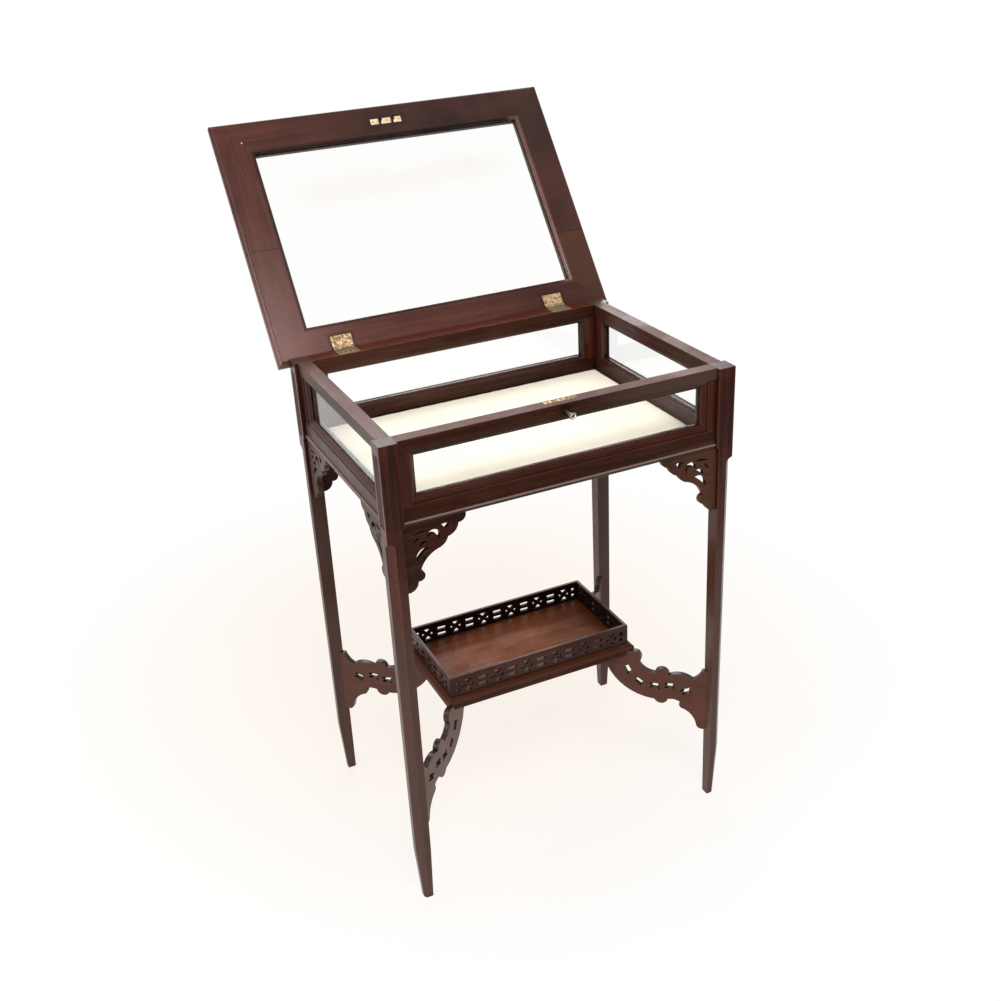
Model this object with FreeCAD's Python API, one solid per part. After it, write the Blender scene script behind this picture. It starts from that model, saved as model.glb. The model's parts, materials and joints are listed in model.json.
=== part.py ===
import FreeCAD, Part
import math
import os

# Collectors display table: a glazed mahogany case on four tapering legs, with a glazed lid that
# lifts on two hinges, pierced corner brackets, and a small galleried shelf on pierced stretchers.
# Millimetres. Origin on the floor under the middle of the case, +X to the right seen from the
# front, +Y to the back, +Z up. The lid stands open, the lock is unlocked and holds its key.

Vector = FreeCAD.Vector

# ------------------------------------------------------------------ driving dimensions, mm
# Case
case_height = 750.0          # floor to the top edge of the case
case_length = 530.0          # across the leg blocks, left to right
case_depth = 378.0           # across the leg blocks, front to back
frame_height = 120.5         # case without its legs
block_side = 26.5            # square block at the top of each leg
rail_recess = 6.0            # rails lie this far behind the faces of the blocks
top_rail_face = 16.5         # flat face of a top rail
bottom_rail_face = 27.5      # flat face of a bottom rail
stile_face = 14.0            # flat face of a stile
sticking_width = 10.0        # moulding worked on the inner edge of rails and stiles
sticking_depth = 8.0
sticking_quirk = 1.5
sticking_bulge = (0.38, 0.5)     # middle of the ovolo, as shares of its depth and width
rebate_width = 6.5           # rebate that holds glass and bead
groove_depth = 5.0           # groove of the bottom board in the bottom rails
pane_thickness = 2.5
pane_clearance = 1.0         # between the edge of a pane and its rebate
glazing_bead_round = 5.0
tenon_thickness = 7.0
tenon_depth = 10.0           # tenon behind the face of the block
tenon_shoulder = 4.0         # tenon is this much lower than its rail at top and bottom
tenon_gap = 0.3              # to the mitre of the mortise
base_bead_height = 7.5
base_bead_projection = 3.0
base_bead_rebate = 4.0
base_bead_fillet = 1.0       # above and below the round nose of the bead
base_bead_round = 2.4        # depth of the round nose
sticking_flat = 1.5          # level part of the moulding beside the flat face
board_thickness = 7.0
board_rise = 1.5             # underside of the board above the underside of the rails
lining_thickness = 4.0
lining_clearance = 0.3

# Legs
leg_top_side = 23.5
leg_ankle_side = 20.5
ankle_height = 96.0
foot_side = 13.5
toe_in = 6.3                 # outer faces lean in by this from ankle to floor
foot_round = 1.2
chamfer_leg = 10.0
chamfer_foot = 4.6
chamfer_stop_drop = 27.5     # the chamfer ends in a curved stop this far below the case
chamfer_stop_height = 10.0
chamfer_stop_bulge = (0.78, 0.64)    # middle of its curve, as shares of its depth and height
reed_panel_width = 17.0
reed_panel_rise = 1.5        # above the underside of the case
reed_panel_drop = 15.5       # below the top of the case
reed_panel_inset = 4.5       # from the outer corner of the block
reed_count = 5
reed_radius = 1.9
reed_sink = 1.5

# Brackets under the case
bracket_thickness = 8.5
bracket_setback = 5.5        # behind the faces of the blocks
bracket_fitted_reach = 3.0   # the part beside the leg that follows its taper

# Shelf and gallery
shelf_top = 270.0
shelf_thickness = 21.0
gallery_length = 308.0       # outside, left to right
gallery_depth = 164.0        # outside, front to back
gallery_height = 33.0
gallery_wall = 5.0
shelf_overhang = 8.0         # moulded edge outside the gallery
shelf_fascia_overhang = 4.0
shelf_fascia_height = 9.5
shelf_lip_rise = 2.5         # hollow between the fascia and the square lip
shelf_lip_height = 4.0
shelf_hollow = (0.65, 0.25)      # middle of the hollow, as shares of overhang and rise
shelf_nose = (0.45, 0.75)        # middle of the round nose, as shares of overhang and height
shelf_field_rise = 1.0       # field inside the gallery above the seat of its rails
shelf_field_clearance = 0.2  # field to rails
fret_rise = 14.5             # middle of the fret above the seat of the gallery
fret_band_height = 20.0
fret_spur_width = 13.6       # of the pointed holes above and below a cross
fret_spur_point = 3.1        # from the middle of the cross to the point of such a hole
fret_barb_height = 6.4       # of the pointed holes beside a cross
fret_barb_reach = 9.3
fret_barb_point = 2.4
fret_pitch = 49.9            # from cross to cross along the gallery
fret_long_count = 6          # crosses in a long rail
fret_short_count = 3
fret_bar_slot_length = 14.5
fret_bar_slot_height = 5.4
fret_bar_slot_spacing = 10.8
fret_end_slot_length = 6.0
fret_end_slot_place = 17.3   # beyond the last cross

# Stretchers
stretcher_thickness = 9.5
stretcher_drawn_reach = 113.0    # leg to shelf corner for which the outline is drawn
dowel_radius = 3.0
shelf_dowel_places = (128.0, 150.0)
shelf_dowel_up = 10.0
shelf_dowel_down = 14.0
leg_dowel_heights = (160.0, 213.0)
leg_dowel_reach = 12.0
knot_bar_length = 18.0       # of the cross-shaped holes
knot_bar_width = 3.2
knot_bar_angle = 27.0
knot_block_length = 9.0
knot_block_height = 9.6

# Lid
lid_gap = 0.4                # between the closed lid and the case
lid_thickness = 19.0
lid_front_overhang = 3.3     # flat underside beyond the block faces
lid_side_overhang = 9.7
lid_back_overhang = 3.5      # flat underside beyond the hinge line
lid_nosing = 6.5             # moulded edge beyond the flat underside
lid_edge_flat = 2.5          # square edge under the cove
lid_cove_height = 5.1
lid_cove_hollow = (0.3, 0.35)    # middle of the cove, as shares of the nosing and its height
lid_nosing_round = 1.2       # reach of the rounded nose beyond its edges
lid_top_bevel = 1.0
lid_corner_round = 3.0
lid_side_width = 46.1        # underside of the side rails
lid_front_width = 46.5
lid_back_width = 37.2        # underside of the back rail from the hinge line
lid_rebate_width = 6.0
lid_rebate_height = 8.0
lid_pane_thickness = 3.0
lid_pane_clearance = 0.8
lid_sight_round = 4.0
lid_bead_width = 5.5
lid_bead_sink = 0.4          # above the underside of the lid
lid_bead_lip = 1.0           # level part beside the rail
lid_bead_hollow = (0.8, 0.3)     # middle of its curve, as shares of its width and height
left_rail_joint = 174.0      # from the hinge line to the joint in the left side rail
right_rail_joint = 122.0
lid_open_angle = 127.7

# Hinges
hinge_left_x = -177.5
hinge_right_x = 182.0
hinge_width = 33.0
hinge_setback = 2.5          # pin behind the back of the case
hinge_case_leaf = 27.5       # from the pin to the edge of the leaf
hinge_lid_leaf = 21.0
hinge_leaf_thickness = 1.6
knuckle_radius = 2.5
knuckle_count = 5
knuckle_gap = 0.2
knuckle_clearance = 0.5      # wood cut back round the knuckles
hinge_pin_radius = 1.2
hinge_pin_seat = 0.02        # pin held in the case leaf
hinge_pin_running = 0.06     # pin running in the lid leaf

# Screws
screw_head_radius = 2.4
screw_shank_radius = 1.1
screw_head_height = 1.3
screw_length = 9.0
screw_slot_width = 0.5
screw_slot_depth = 0.5
small_screw_scale = 0.6      # of the lock and the link plate
hinge_screw_x = 9.5          # the outer screws of a leaf, from its middle
case_leaf_screws = (9.0, 18.0)   # outer screws and middle screw, from the pin
lid_leaf_screws = (8.0, 15.5)

# Lock, in the front top rail
lock_body_length = 42.0
lock_plate = 1.5
lock_front_depth = 13.5      # from the faces of the blocks
lock_body_height = 17.5
selvedge_length = 49.0
selvedge_width = 10.0
selvedge_thickness = 2.0
selvedge_screw_x = 22.8
key_drop = 11.0              # key axis below the top of the case
keyhole_radius = 2.4
keyhole_slot_width = 2.6
keyhole_slot_reach = 6.2
drill_pin_radius = 1.0
drill_pin_front_depth = 12.0
bolt_travel = 4.5
bolt_thickness = 2.5
bolt_clearance = 0.3
bolt_bar_top = 8.9           # below the top of the case
bolt_finger_height = 2.6
bolt_finger_drop = 3.8
bolt_stem_width = 2.5
bolt_finger_gap = 0.6        # finger tip to the loop when unlocked
bolt_bar_end = 7.5           # right end of the bar when unlocked

# Link plate, let into a patch in the front rail of the lid
link_plate_length = 52.0
link_plate_width = 9.5
link_plate_thickness = 1.5
link_loop_x = 10.5
link_loop_thickness = 2.0
link_loop_width = 5.6
link_loop_drop = 9.0
link_loop_wall = 1.0
link_loop_foot = 1.5
link_loop_window = 4.0
link_loop_clearance = 0.45
link_screw_x = 22.5
patch_length = 68.0
patch_width = 20.0
patch_thickness = 2.5

# Key
key_shank_radius = 2.0
key_barrel_running = 0.05
key_barrel_bore = 12.0
key_bit_reach = 5.5
key_bit_thickness = 2.0
key_bit_length = 4.6
key_bit_clearance = 0.5      # bit to the front plate of the lock
drum_length = 5.0            # round drum in the lock that the bit turns
drum_clearance = 0.2         # drum to the front plate and to the barrel of the key
drum_rim_clearance = 0.4     # drum to the bottom plate
drum_slot_width = 2.2
key_rest_turn = 45.0         # the bit has turned this far from its way in
key_shank_out = 12.0         # shank outside the faces of the blocks
key_bow_radius = 4.0
key_bow_wire = 1.2
key_collar_radius = 2.8
key_collar_length = 2.0

# ------------------------------------------------------------------ worked-out sizes
frame_bottom = case_height - frame_height            # underside of the case
chamfer_stop = frame_bottom - chamfer_stop_drop
reed_panel_bottom = frame_bottom + reed_panel_rise
reed_panel_top = case_height - reed_panel_drop
rail_inner = block_side                              # rails end flush with the blocks inside
glass_depth = rail_recess + sticking_depth           # outer face of the panes
sight_top = case_height - top_rail_face - sticking_width
sight_bottom = frame_bottom + bottom_rail_face + sticking_width
board_bottom = frame_bottom + board_rise
lining_bottom = board_bottom + board_thickness
shelf_bottom = shelf_top - shelf_thickness
pin_y = case_depth / 2 + hinge_setback
pin_z = case_height + lid_gap / 2
lid_underside = case_height + lid_gap
lid_flat_reach = pin_y + case_depth / 2 + lid_front_overhang     # hinge line to front flat edge
lid_flat_half = case_length / 2 + lid_side_overhang
lid_opening_half = lid_flat_half - lid_side_width
lid_opening_front = lid_flat_reach - lid_front_width
key_z = case_height - key_drop
lid_opening_y = (pin_y - lid_opening_front, pin_y - lid_back_width)
lock_bottom = case_height - selvedge_thickness - lock_body_height
loop_depth = rail_inner - lock_plate - link_loop_clearance - link_loop_width / 2
link_plate_reach = pin_y + case_depth / 2 - loop_depth             # from the hinge line
far = 1000.0                 # longer than any piece, for cutting tools
sliver = 2.0                 # how far a cutting tool stands out of what it cuts


# ------------------------------------------------------------------ helpers
def box(x_range, y_range, z_range):
    """Box between the low and high end of each range."""
    size = [high - low for low, high in (x_range, y_range, z_range)]
    return Part.makeBox(*size, Vector(x_range[0], y_range[0], z_range[0]))


def about(middle, width):
    """Range of a width about its middle."""
    return (middle - width / 2, middle + width / 2)


def bar(radius, start, end):
    """Round bar between two points."""
    along = end - start
    return Part.makeCylinder(radius, along.Length, start, along)


def prism(outline, place, along):
    """Prism on an outline of (u, v) points, put in space by place(u, v).

    An item that is a pair of points is an arc: a point on it, then its end.
    """
    edges = []
    here = outline[0]
    for item in outline[1:]:
        if isinstance(item[0], tuple):
            middle, end = item
            edges.append(Part.Arc(place(*here), place(*middle), place(*end)).toShape())
        else:
            end = item
            edges.append(Part.makeLine(place(*here), place(*end)))
        here = end
    if here != outline[0]:
        edges.append(Part.makeLine(place(*here), place(*outline[0])))
    return Part.Face(Part.Wire(edges)).extrude(along)


def loft(sections):
    """Straight-sided solid through polygon sections, each a list of points."""
    wires = [Part.makePolygon(points + points[:1]) for points in sections]
    return Part.makeLoft(wires, True, True)


def rectangle(u_range, v_range):
    """Outline of a rectangle."""
    (left, right), (low, high) = u_range, v_range
    return [(left, low), (right, low), (right, high), (left, high)]


def straight_slot(middle, length, width, angle):
    """Outline of a square-ended slot, turned by an angle in degrees."""
    turn = math.radians(angle)
    ahead = (math.cos(turn) * length / 2, math.sin(turn) * length / 2)
    aside = (-math.sin(turn) * width / 2, math.cos(turn) * width / 2)
    signs = ((-1, -1), (1, -1), (1, 1), (-1, 1))
    return [tuple(middle[i] + a * ahead[i] + b * aside[i] for i in (0, 1)) for a, b in signs]


def crescent(start, outer, end, inner):
    """Outline of a pointed hole between two arcs through an outer and an inner point."""
    return [start, (outer, end), (inner, start)]


def cut_all(shape, tools):
    """The main solid that is left of a shape when every tool is cut from it."""
    return max(shape.cut(list(tools)).Solids, key=lambda solid: solid.Volume)


def mirrored(shape):
    """Copy on the other side of the plane x = 0."""
    return shape.mirror(Vector(0, 0, 0), Vector(1, 0, 0))


pieces = {}                  # name of a piece: list of its solids

# ------------------------------------------------------------------ the four sides of the case
# A side is made at the front, where x runs along it, y is the depth behind the faces of the leg
# blocks and z is the height. It is then turned to its place.
side_turns = {"front": 0, "right": 90, "back": 180, "left": 270}


def side_length(side):
    """Length across the blocks on a side."""
    return case_length if side in ("front", "back") else case_depth


def side_span(side):
    """Half the distance between the blocks on a side."""
    return side_length(side) / 2 - block_side


def to_side(shape, side):
    """Move a piece made at the front to its side."""
    out = case_depth / 2 if side in ("front", "back") else case_length / 2
    placed = shape.copy()
    placed.translate(Vector(0, -out, 0))
    placed.rotate(Vector(0, 0, 0), Vector(0, 0, 1), side_turns[side])
    return placed


def member_outline(face, face_depth):
    """Section of a rail or stile as (depth, height above the sight edge)."""
    ovolo_start = glass_depth - sticking_quirk
    ovolo_middle = (
        rail_recess + sticking_bulge[0] * sticking_depth,
        sticking_bulge[1] * sticking_width,
    )
    outline = [
        (glass_depth, 0),
        (ovolo_start, 0),
        (ovolo_start, sticking_quirk),
        (ovolo_middle, (rail_recess + sticking_flat, sticking_width)),
        (face_depth, sticking_width),
        (face_depth, sticking_width + face),
        (rail_inner, sticking_width + face),
        (rail_inner, rebate_width),
        (glass_depth, rebate_width),
    ]
    return outline


def tenons(span, z_range):
    """Mitred tenons at both ends of a rail."""
    near = tenon_depth
    back = tenon_depth + tenon_thickness
    outline = [
        (span, near),
        (span + block_side - near - tenon_gap, near),
        (span + block_side - back - tenon_gap, back),
        (span, back),
    ]
    low = z_range[0] + tenon_shoulder
    height = z_range[1] - z_range[0] - 2 * tenon_shoulder
    right = prism(outline, lambda x, y: Vector(x, y, low), Vector(0, 0, height))
    return [right, mirrored(right)]


def top_rail(side):
    """Top rail with sticking below; the back one comes forward to carry the hinges."""
    span = side_span(side)
    face_depth = 0.0 if side == "back" else rail_recess
    rail = prism(
        member_outline(top_rail_face, face_depth),
        lambda depth, height: Vector(-span, depth, sight_top + height),
        Vector(2 * span, 0, 0),
    )
    return rail.fuse(tenons(span, (sight_top + rebate_width, case_height))).removeSplitter()


def bottom_rail(side):
    """Bottom rail with sticking above, a groove for the board and a rebate for the bead."""
    span = side_span(side)
    rail = prism(
        member_outline(bottom_rail_face, rail_recess),
        lambda depth, height: Vector(-span, depth, sight_bottom - height),
        Vector(2 * span, 0, 0),
    )
    groove = box(
        (-far, far),
        (rail_inner - groove_depth, far),
        (board_bottom, board_bottom + board_thickness),
    )
    bead_rebate = box(
        (-far, far),
        (-far, rail_recess + base_bead_rebate),
        (-far, frame_bottom + base_bead_height),
    )
    rail = rail.cut([groove, bead_rebate])
    z_range = (board_bottom + board_thickness, sight_bottom - rebate_width)
    return rail.fuse(tenons(span, z_range)).removeSplitter()


def stiles(side, rails):
    """The two stiles of a side, scribed over the sticking of the rails."""
    span = side_span(side)
    low = sight_bottom - sticking_width
    right = prism(
        member_outline(stile_face, rail_recess),
        lambda depth, width: Vector(span - stile_face - sticking_width + width, depth, low),
        Vector(0, 0, sight_top + sticking_width - low),
    )
    return [cut_all(stile, rails) for stile in (mirrored(right), right)]


def sight_half(side):
    """Half the visible width of the glass on a side."""
    return side_span(side) - stile_face - sticking_width


def pane(side):
    """Pane in the rebates of its frame."""
    reach = rebate_width - pane_clearance
    half = sight_half(side) + reach
    return box(
        (-half, half),
        (glass_depth, glass_depth + pane_thickness),
        (sight_bottom - reach, sight_top + reach),
    )


def bead_outline():
    """Section of a glazing bead as (depth, height above the sight edge)."""
    front = glass_depth + pane_thickness
    round_off = glazing_bead_round * (1 - math.sqrt(0.5))
    return [
        (front, 0),
        (rail_inner - glazing_bead_round, 0),
        ((rail_inner - round_off, round_off), (rail_inner, glazing_bead_round)),
        (rail_inner, rebate_width),
        (front, rebate_width),
    ]


def glazing_beads(side):
    """Four beads behind a pane; the upright ones are scribed over the level ones."""
    half = sight_half(side)
    length = 2 * (half + rebate_width)
    level = [
        prism(
            bead_outline(),
            lambda depth, height: Vector(-length / 2, depth, sight + sign * height),
            Vector(length, 0, 0),
        )
        for sight, sign in ((sight_top, 1), (sight_bottom, -1))
    ]
    low = sight_bottom - rebate_width
    upright = prism(
        bead_outline(),
        lambda depth, width: Vector(half + width, depth, low),
        Vector(0, 0, sight_top + rebate_width - low),
    )
    return level + [cut_all(bead, level) for bead in (mirrored(upright), upright)]


def base_bead(side):
    """Moulding in the lower outer edge of a bottom rail, with a small fillet and a round nose."""
    span = side_span(side)
    nose = rail_recess - base_bead_projection
    back = nose + base_bead_round
    low = frame_bottom + base_bead_fillet
    top = frame_bottom + base_bead_height
    high = top - base_bead_fillet
    outline = [
        (rail_recess + base_bead_rebate, frame_bottom),
        (rail_recess + base_bead_rebate, top),
        (back, top),
        (back, high),
        ((nose, (low + high) / 2), (back, low)),
        (back, frame_bottom),
    ]
    place = lambda depth, height: Vector(-span, depth, height)
    return prism(outline, place, Vector(2 * span, 0, 0))


# ------------------------------------------------------------------ legs
def leg_side(z):
    """Side of the square leg at a height between ankle and block."""
    share = (z - ankle_height) / (frame_bottom - ankle_height)
    return leg_ankle_side + (leg_top_side - leg_ankle_side) * share


def square(corner, side, z):
    """Square section with its outer corner on the diagonal."""
    ends = (corner, corner + side)
    return [Vector(ends[i], ends[j], z) for i, j in ((0, 0), (1, 0), (1, 1), (0, 1))]


def chamfer_wedge(corner, chamfer, z):
    """Section of the tool that takes the outer corner off a leg."""
    low = corner - sliver
    high = corner + chamfer + sliver
    return [Vector(low, low, z), Vector(high, low, z), Vector(low, high, z)]


def reed_panel():
    """The hollows between the reeds of the panel on the face y = 0 of a block."""
    pitch = reed_panel_width / reed_count
    panel = box(
        (reed_panel_inset, reed_panel_inset + reed_panel_width),
        (-sliver, reed_sink),
        (reed_panel_bottom, reed_panel_top),
    )
    reeds = [
        Part.makeCylinder(
            reed_radius,
            reed_panel_top - reed_panel_bottom,
            Vector(reed_panel_inset + (number + 0.5) * pitch, reed_radius, reed_panel_bottom),
        )
        for number in range(reed_count)
    ]
    return panel.cut(reeds)


def leg_shape():
    """Leg with its outer corner on the z axis, spreading towards +X and +Y."""
    block = box((0, block_side), (0, block_side), (frame_bottom, case_height))
    shaft = loft([
        square(0, leg_ankle_side, ankle_height),
        square(0, leg_top_side, frame_bottom),
    ])
    foot = loft([
        square(toe_in, foot_side, foot_round),
        square(0, leg_ankle_side, ankle_height),
    ])
    sole = loft([
        square(toe_in + foot_round, foot_side - 2 * foot_round, 0),
        square(toe_in, foot_side, foot_round),
    ])
    whole = block.fuse([shaft, foot, sole]).removeSplitter()
    chamfers = [
        loft([
            chamfer_wedge(toe_in, chamfer_foot, 0),
            chamfer_wedge(0, chamfer_leg, ankle_height),
        ]),
        loft([
            chamfer_wedge(0, chamfer_leg, ankle_height),
            chamfer_wedge(0, chamfer_leg, chamfer_stop),
        ]),
    ]
    depth = chamfer_leg * math.sqrt(0.5)
    stop_top = chamfer_stop + chamfer_stop_height
    across = Vector(1, -1, 0).normalize()
    bulge = (
        chamfer_stop_bulge[0] * depth,
        chamfer_stop + chamfer_stop_bulge[1] * chamfer_stop_height,
    )
    stop = prism(
        [
            (-sliver, chamfer_stop),
            (depth, chamfer_stop),
            (bulge, (0, stop_top)),
            (-sliver, stop_top),
        ],
        lambda inward, z: Vector(inward, inward, 0) * math.sqrt(0.5)
        + Vector(0, 0, z)
        - across * chamfer_leg,
        across * 2 * chamfer_leg,
    )
    front_reeds = reed_panel()
    side_reeds = front_reeds.mirror(Vector(0, 0, 0), Vector(1, -1, 0))
    return whole.cut(chamfers + [stop, front_reeds, side_reeds]).Solids[0]


corners = {
    "front_left": (-1, -1, 0),
    "front_right": (1, -1, 90),
    "back_right": (1, 1, 180),
    "back_left": (-1, 1, 270),
}


def to_corner(shape, corner):
    """Turn a piece made for the outer corner of the front left leg to its corner."""
    right, back, turn = corners[corner]
    placed = shape.copy()
    placed.rotate(Vector(0, 0, 0), Vector(0, 0, 1), turn)
    placed.translate(Vector(right * case_length / 2, back * case_depth / 2, 0))
    return placed


# ------------------------------------------------------------------ brackets
# Points are (out from the leg, up from the underside of the case).
bracket_outline = [
    (0, 0),
    (90.5, 0),
    ((89, -8), (79.5, -12.5)),
    ((75.5, -22), (63.5, -29)),
    ((59, -37), (48.5, -43)),
    ((33, -52), (21.5, -69.5)),
    ((27.3, -76.5), (19.5, -85)),
    (17, -85),
    ((12, -95.5), (2.5, -99)),
    (0, -99),
]
bracket_holes = [
    [(54, -9.5), ((60.5, -8.7), (67.5, -10.2)), ((64.5, -14.8), (60, -18.5)), ((58.2, -13.4), (54, -9.5))],
    crescent((34.5, -25.5), (43.6, -13.6), (49.5, -29.5), (42.6, -20.2)),
    crescent((12.5, -15.5), (25, -11.6), (37.5, -13.2), (25.5, -15.2)),
    crescent((13.5, -29), (17, -21.6), (25, -20.6), (18.6, -25.6)),
    crescent((21.5, -36.5), (26.2, -27.8), (35, -28.6), (28, -32.2)),
    crescent((37.5, -38.2), (23.2, -39.2), (17.6, -56), (27.2, -44.6)),
]


def bracket(side):
    """Pierced bracket at the +X end of a side, its upright edge following the leg."""
    leg_face = side_length(side) / 2 - leg_top_side

    def place(out, up):
        share = max(0.0, 1 - out / bracket_fitted_reach)
        lean = (leg_top_side - leg_side(frame_bottom + up)) * share
        return Vector(leg_face - out + lean, bracket_setback, frame_bottom + up)

    along = Vector(0, bracket_thickness, 0)
    body = prism(bracket_outline, place, along)
    return cut_all(body, [prism(hole, place, along) for hole in bracket_holes])


# ------------------------------------------------------------------ shelf and gallery
def moulded_slab(x_range, y_range, edge):
    """Slab whose edge follows (overhang, z) on all four sides, mitred at the corners.

    The edge ends in the level of the top, a point far inside.
    """
    outline = [(-far, edge[0][1])] + edge
    reaches = (-y_range[0], x_range[1], y_range[1], -x_range[0])
    slab = None
    for turn, reach in zip(side_turns.values(), reaches):
        place = lambda out, z: Vector(-far, -reach - out, z)
        part = prism(outline, place, Vector(2 * far, 0, 0))
        part.rotate(Vector(0, 0, 0), Vector(0, 0, 1), turn)
        slab = slab.common(part) if slab else part
    return slab.Solids[0]


def shelf_board():
    """Shelf with a moulded edge over a plain fascia, and a raised field inside the gallery."""
    fascia_top = shelf_bottom + shelf_fascia_height
    lip = fascia_top + shelf_lip_rise
    lip_top = lip + shelf_lip_height
    hollow = (shelf_hollow[0] * shelf_overhang, fascia_top + shelf_hollow[1] * shelf_lip_rise)
    nose = (
        shelf_nose[0] * shelf_overhang,
        lip_top + shelf_nose[1] * (shelf_top - lip_top),
    )
    edge = [
        (shelf_fascia_overhang, shelf_bottom),
        (shelf_fascia_overhang, fascia_top),
        (hollow, (shelf_overhang, lip)),
        (shelf_overhang, lip_top),
        (nose, (0, shelf_top)),
        (-far, shelf_top),
    ]
    seat = gallery_wall + shelf_field_clearance
    field = box(
        about(0, gallery_length - 2 * seat),
        about(0, gallery_depth - 2 * seat),
        (shelf_top - sliver, shelf_top + shelf_field_rise),
    )
    slab = moulded_slab(about(0, gallery_length), about(0, gallery_depth), edge)
    return slab.fuse(field).removeSplitter().Solids[0]


def fret_cell(middle):
    """The four pointed holes round one cross of the fret."""
    top = fret_band_height / 2
    spur = fret_spur_width / 2
    barb = fret_barb_height / 2
    holes = []
    for sign in (-1, 1):
        height = sign * top
        side = middle + sign * fret_barb_reach
        spur_point = (middle, sign * fret_spur_point)
        barb_point = (middle + sign * fret_barb_point, 0)
        holes.append([(middle - spur, height), (middle + spur, height), spur_point])
        holes.append([(side, barb), (side, -barb), barb_point])
    return holes


def fret_outlines(crosses):
    """Crosses with paired slots between them, and short slots beyond the end crosses."""
    first = -(crosses - 1) / 2 * fret_pitch
    end = -first + fret_end_slot_place
    slots = [(-end, fret_end_slot_length), (end, fret_end_slot_length)]
    outlines = []
    for number in range(crosses):
        outlines += fret_cell(first + number * fret_pitch)
    for number in range(crosses - 1):
        slots.append((first + (number + 0.5) * fret_pitch, fret_bar_slot_length))
    for middle, length in slots:
        for height in about(0, fret_bar_slot_spacing):
            outlines.append(rectangle(about(middle, length), about(height, fret_bar_slot_height)))
    return outlines


def gallery_rail(length, crosses):
    """Mitred fretted rail along X, its outer face at y = 0."""
    half = length / 2
    plan = [
        (-half, 0),
        (half, 0),
        (half - gallery_wall, gallery_wall),
        (-half + gallery_wall, gallery_wall),
    ]
    rail = prism(plan, lambda x, y: Vector(x, y, shelf_top), Vector(0, 0, gallery_height))
    band = shelf_top + fret_rise
    place = lambda x, z: Vector(x, -sliver, band + z)
    through = Vector(0, gallery_wall + 2 * sliver, 0)
    return cut_all(rail, [prism(hole, place, through) for hole in fret_outlines(crosses)])


# ------------------------------------------------------------------ stretchers
# Points are (out from the leg, up from the underside of the shelf).
stretcher_outline = [
    (-14, -10.5),
    (4, -10.5),
    ((9.5, -21.5), (18.5, -29.5)),
    ((37, -23), (56, -27.5)),
    ((67.5, -16.8), (79, -26.5)),
    ((93, -23.5), (104.5, -11.5)),
    ((101, -1), (107, 9.5)),
    (166, 9.5),
    (163, 0),
    ((139, -50.5), (79, -76.5)),
    ((67.5, -83), (57, -73.5)),
    ((47, -72.3), (37, -75.5)),
    ((38.5, -82), (32, -87.5)),
    ((17, -99), (10.5, -115)),
    ((6, -121), (0, -122)),
    (-14, -122),
]


def knot(middle, angle):
    """Outlines that make one knot hole: a cross of two bars with a block in its middle."""
    return [
        straight_slot(middle, knot_bar_length, knot_bar_width, angle + knot_bar_angle),
        straight_slot(middle, knot_bar_length, knot_bar_width, angle - knot_bar_angle),
        straight_slot(middle, knot_block_length, knot_block_height, angle),
    ]


stretcher_holes = [
    straight_slot((122.5, -27), 15.0, 9.4, 64),
    straight_slot((104, -47), 12.5, 9.4, 36),
    *knot((78, -51), 2),
    *knot((54, -47.5), -6),
    *knot((27.5, -53.5), -22),
]


def stretcher_frame(corner):
    """Start at the inner corner of a leg, direction to the shelf corner, and the scale along it."""
    right, back, _ = corners[corner]
    side = leg_side(shelf_bottom)
    start = Vector(right * (case_length / 2 - side), back * (case_depth / 2 - side), 0)
    end = Vector(
        right * (gallery_length / 2 + shelf_overhang),
        back * (gallery_depth / 2 + shelf_overhang),
        0,
    )
    reach = (end - start).Length
    return start, (end - start).normalize(), reach / stretcher_drawn_reach


def stretcher(corner, neighbours):
    """Pierced curved stretcher on edge, notched over the leg and under the shelf."""
    start, ahead, scale = stretcher_frame(corner)
    aside = Vector(-ahead.y, ahead.x, 0)

    def place(along, up):
        return start + ahead * along * scale + Vector(0, 0, shelf_bottom + up) - aside * (
            stretcher_thickness / 2
        )

    across = aside * stretcher_thickness
    body = prism(stretcher_outline, place, across)
    holes = [prism(hole, place, across) for hole in stretcher_holes]
    return cut_all(body, holes + neighbours)


def stretcher_dowels(corner):
    """Upright dowels into the shelf and level dowels into the leg."""
    start, ahead, scale = stretcher_frame(corner)
    dowels = []
    for place in shelf_dowel_places:
        foot = start + ahead * place * scale + Vector(0, 0, shelf_bottom)
        low = foot - Vector(0, 0, shelf_dowel_down)
        dowels.append(bar(dowel_radius, low, foot + Vector(0, 0, shelf_dowel_up)))
    for height in leg_dowel_heights:
        middle = start + Vector(0, 0, height)
        reach = ahead * leg_dowel_reach
        dowels.append(bar(dowel_radius, middle - reach, middle + reach))
    return dowels


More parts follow.
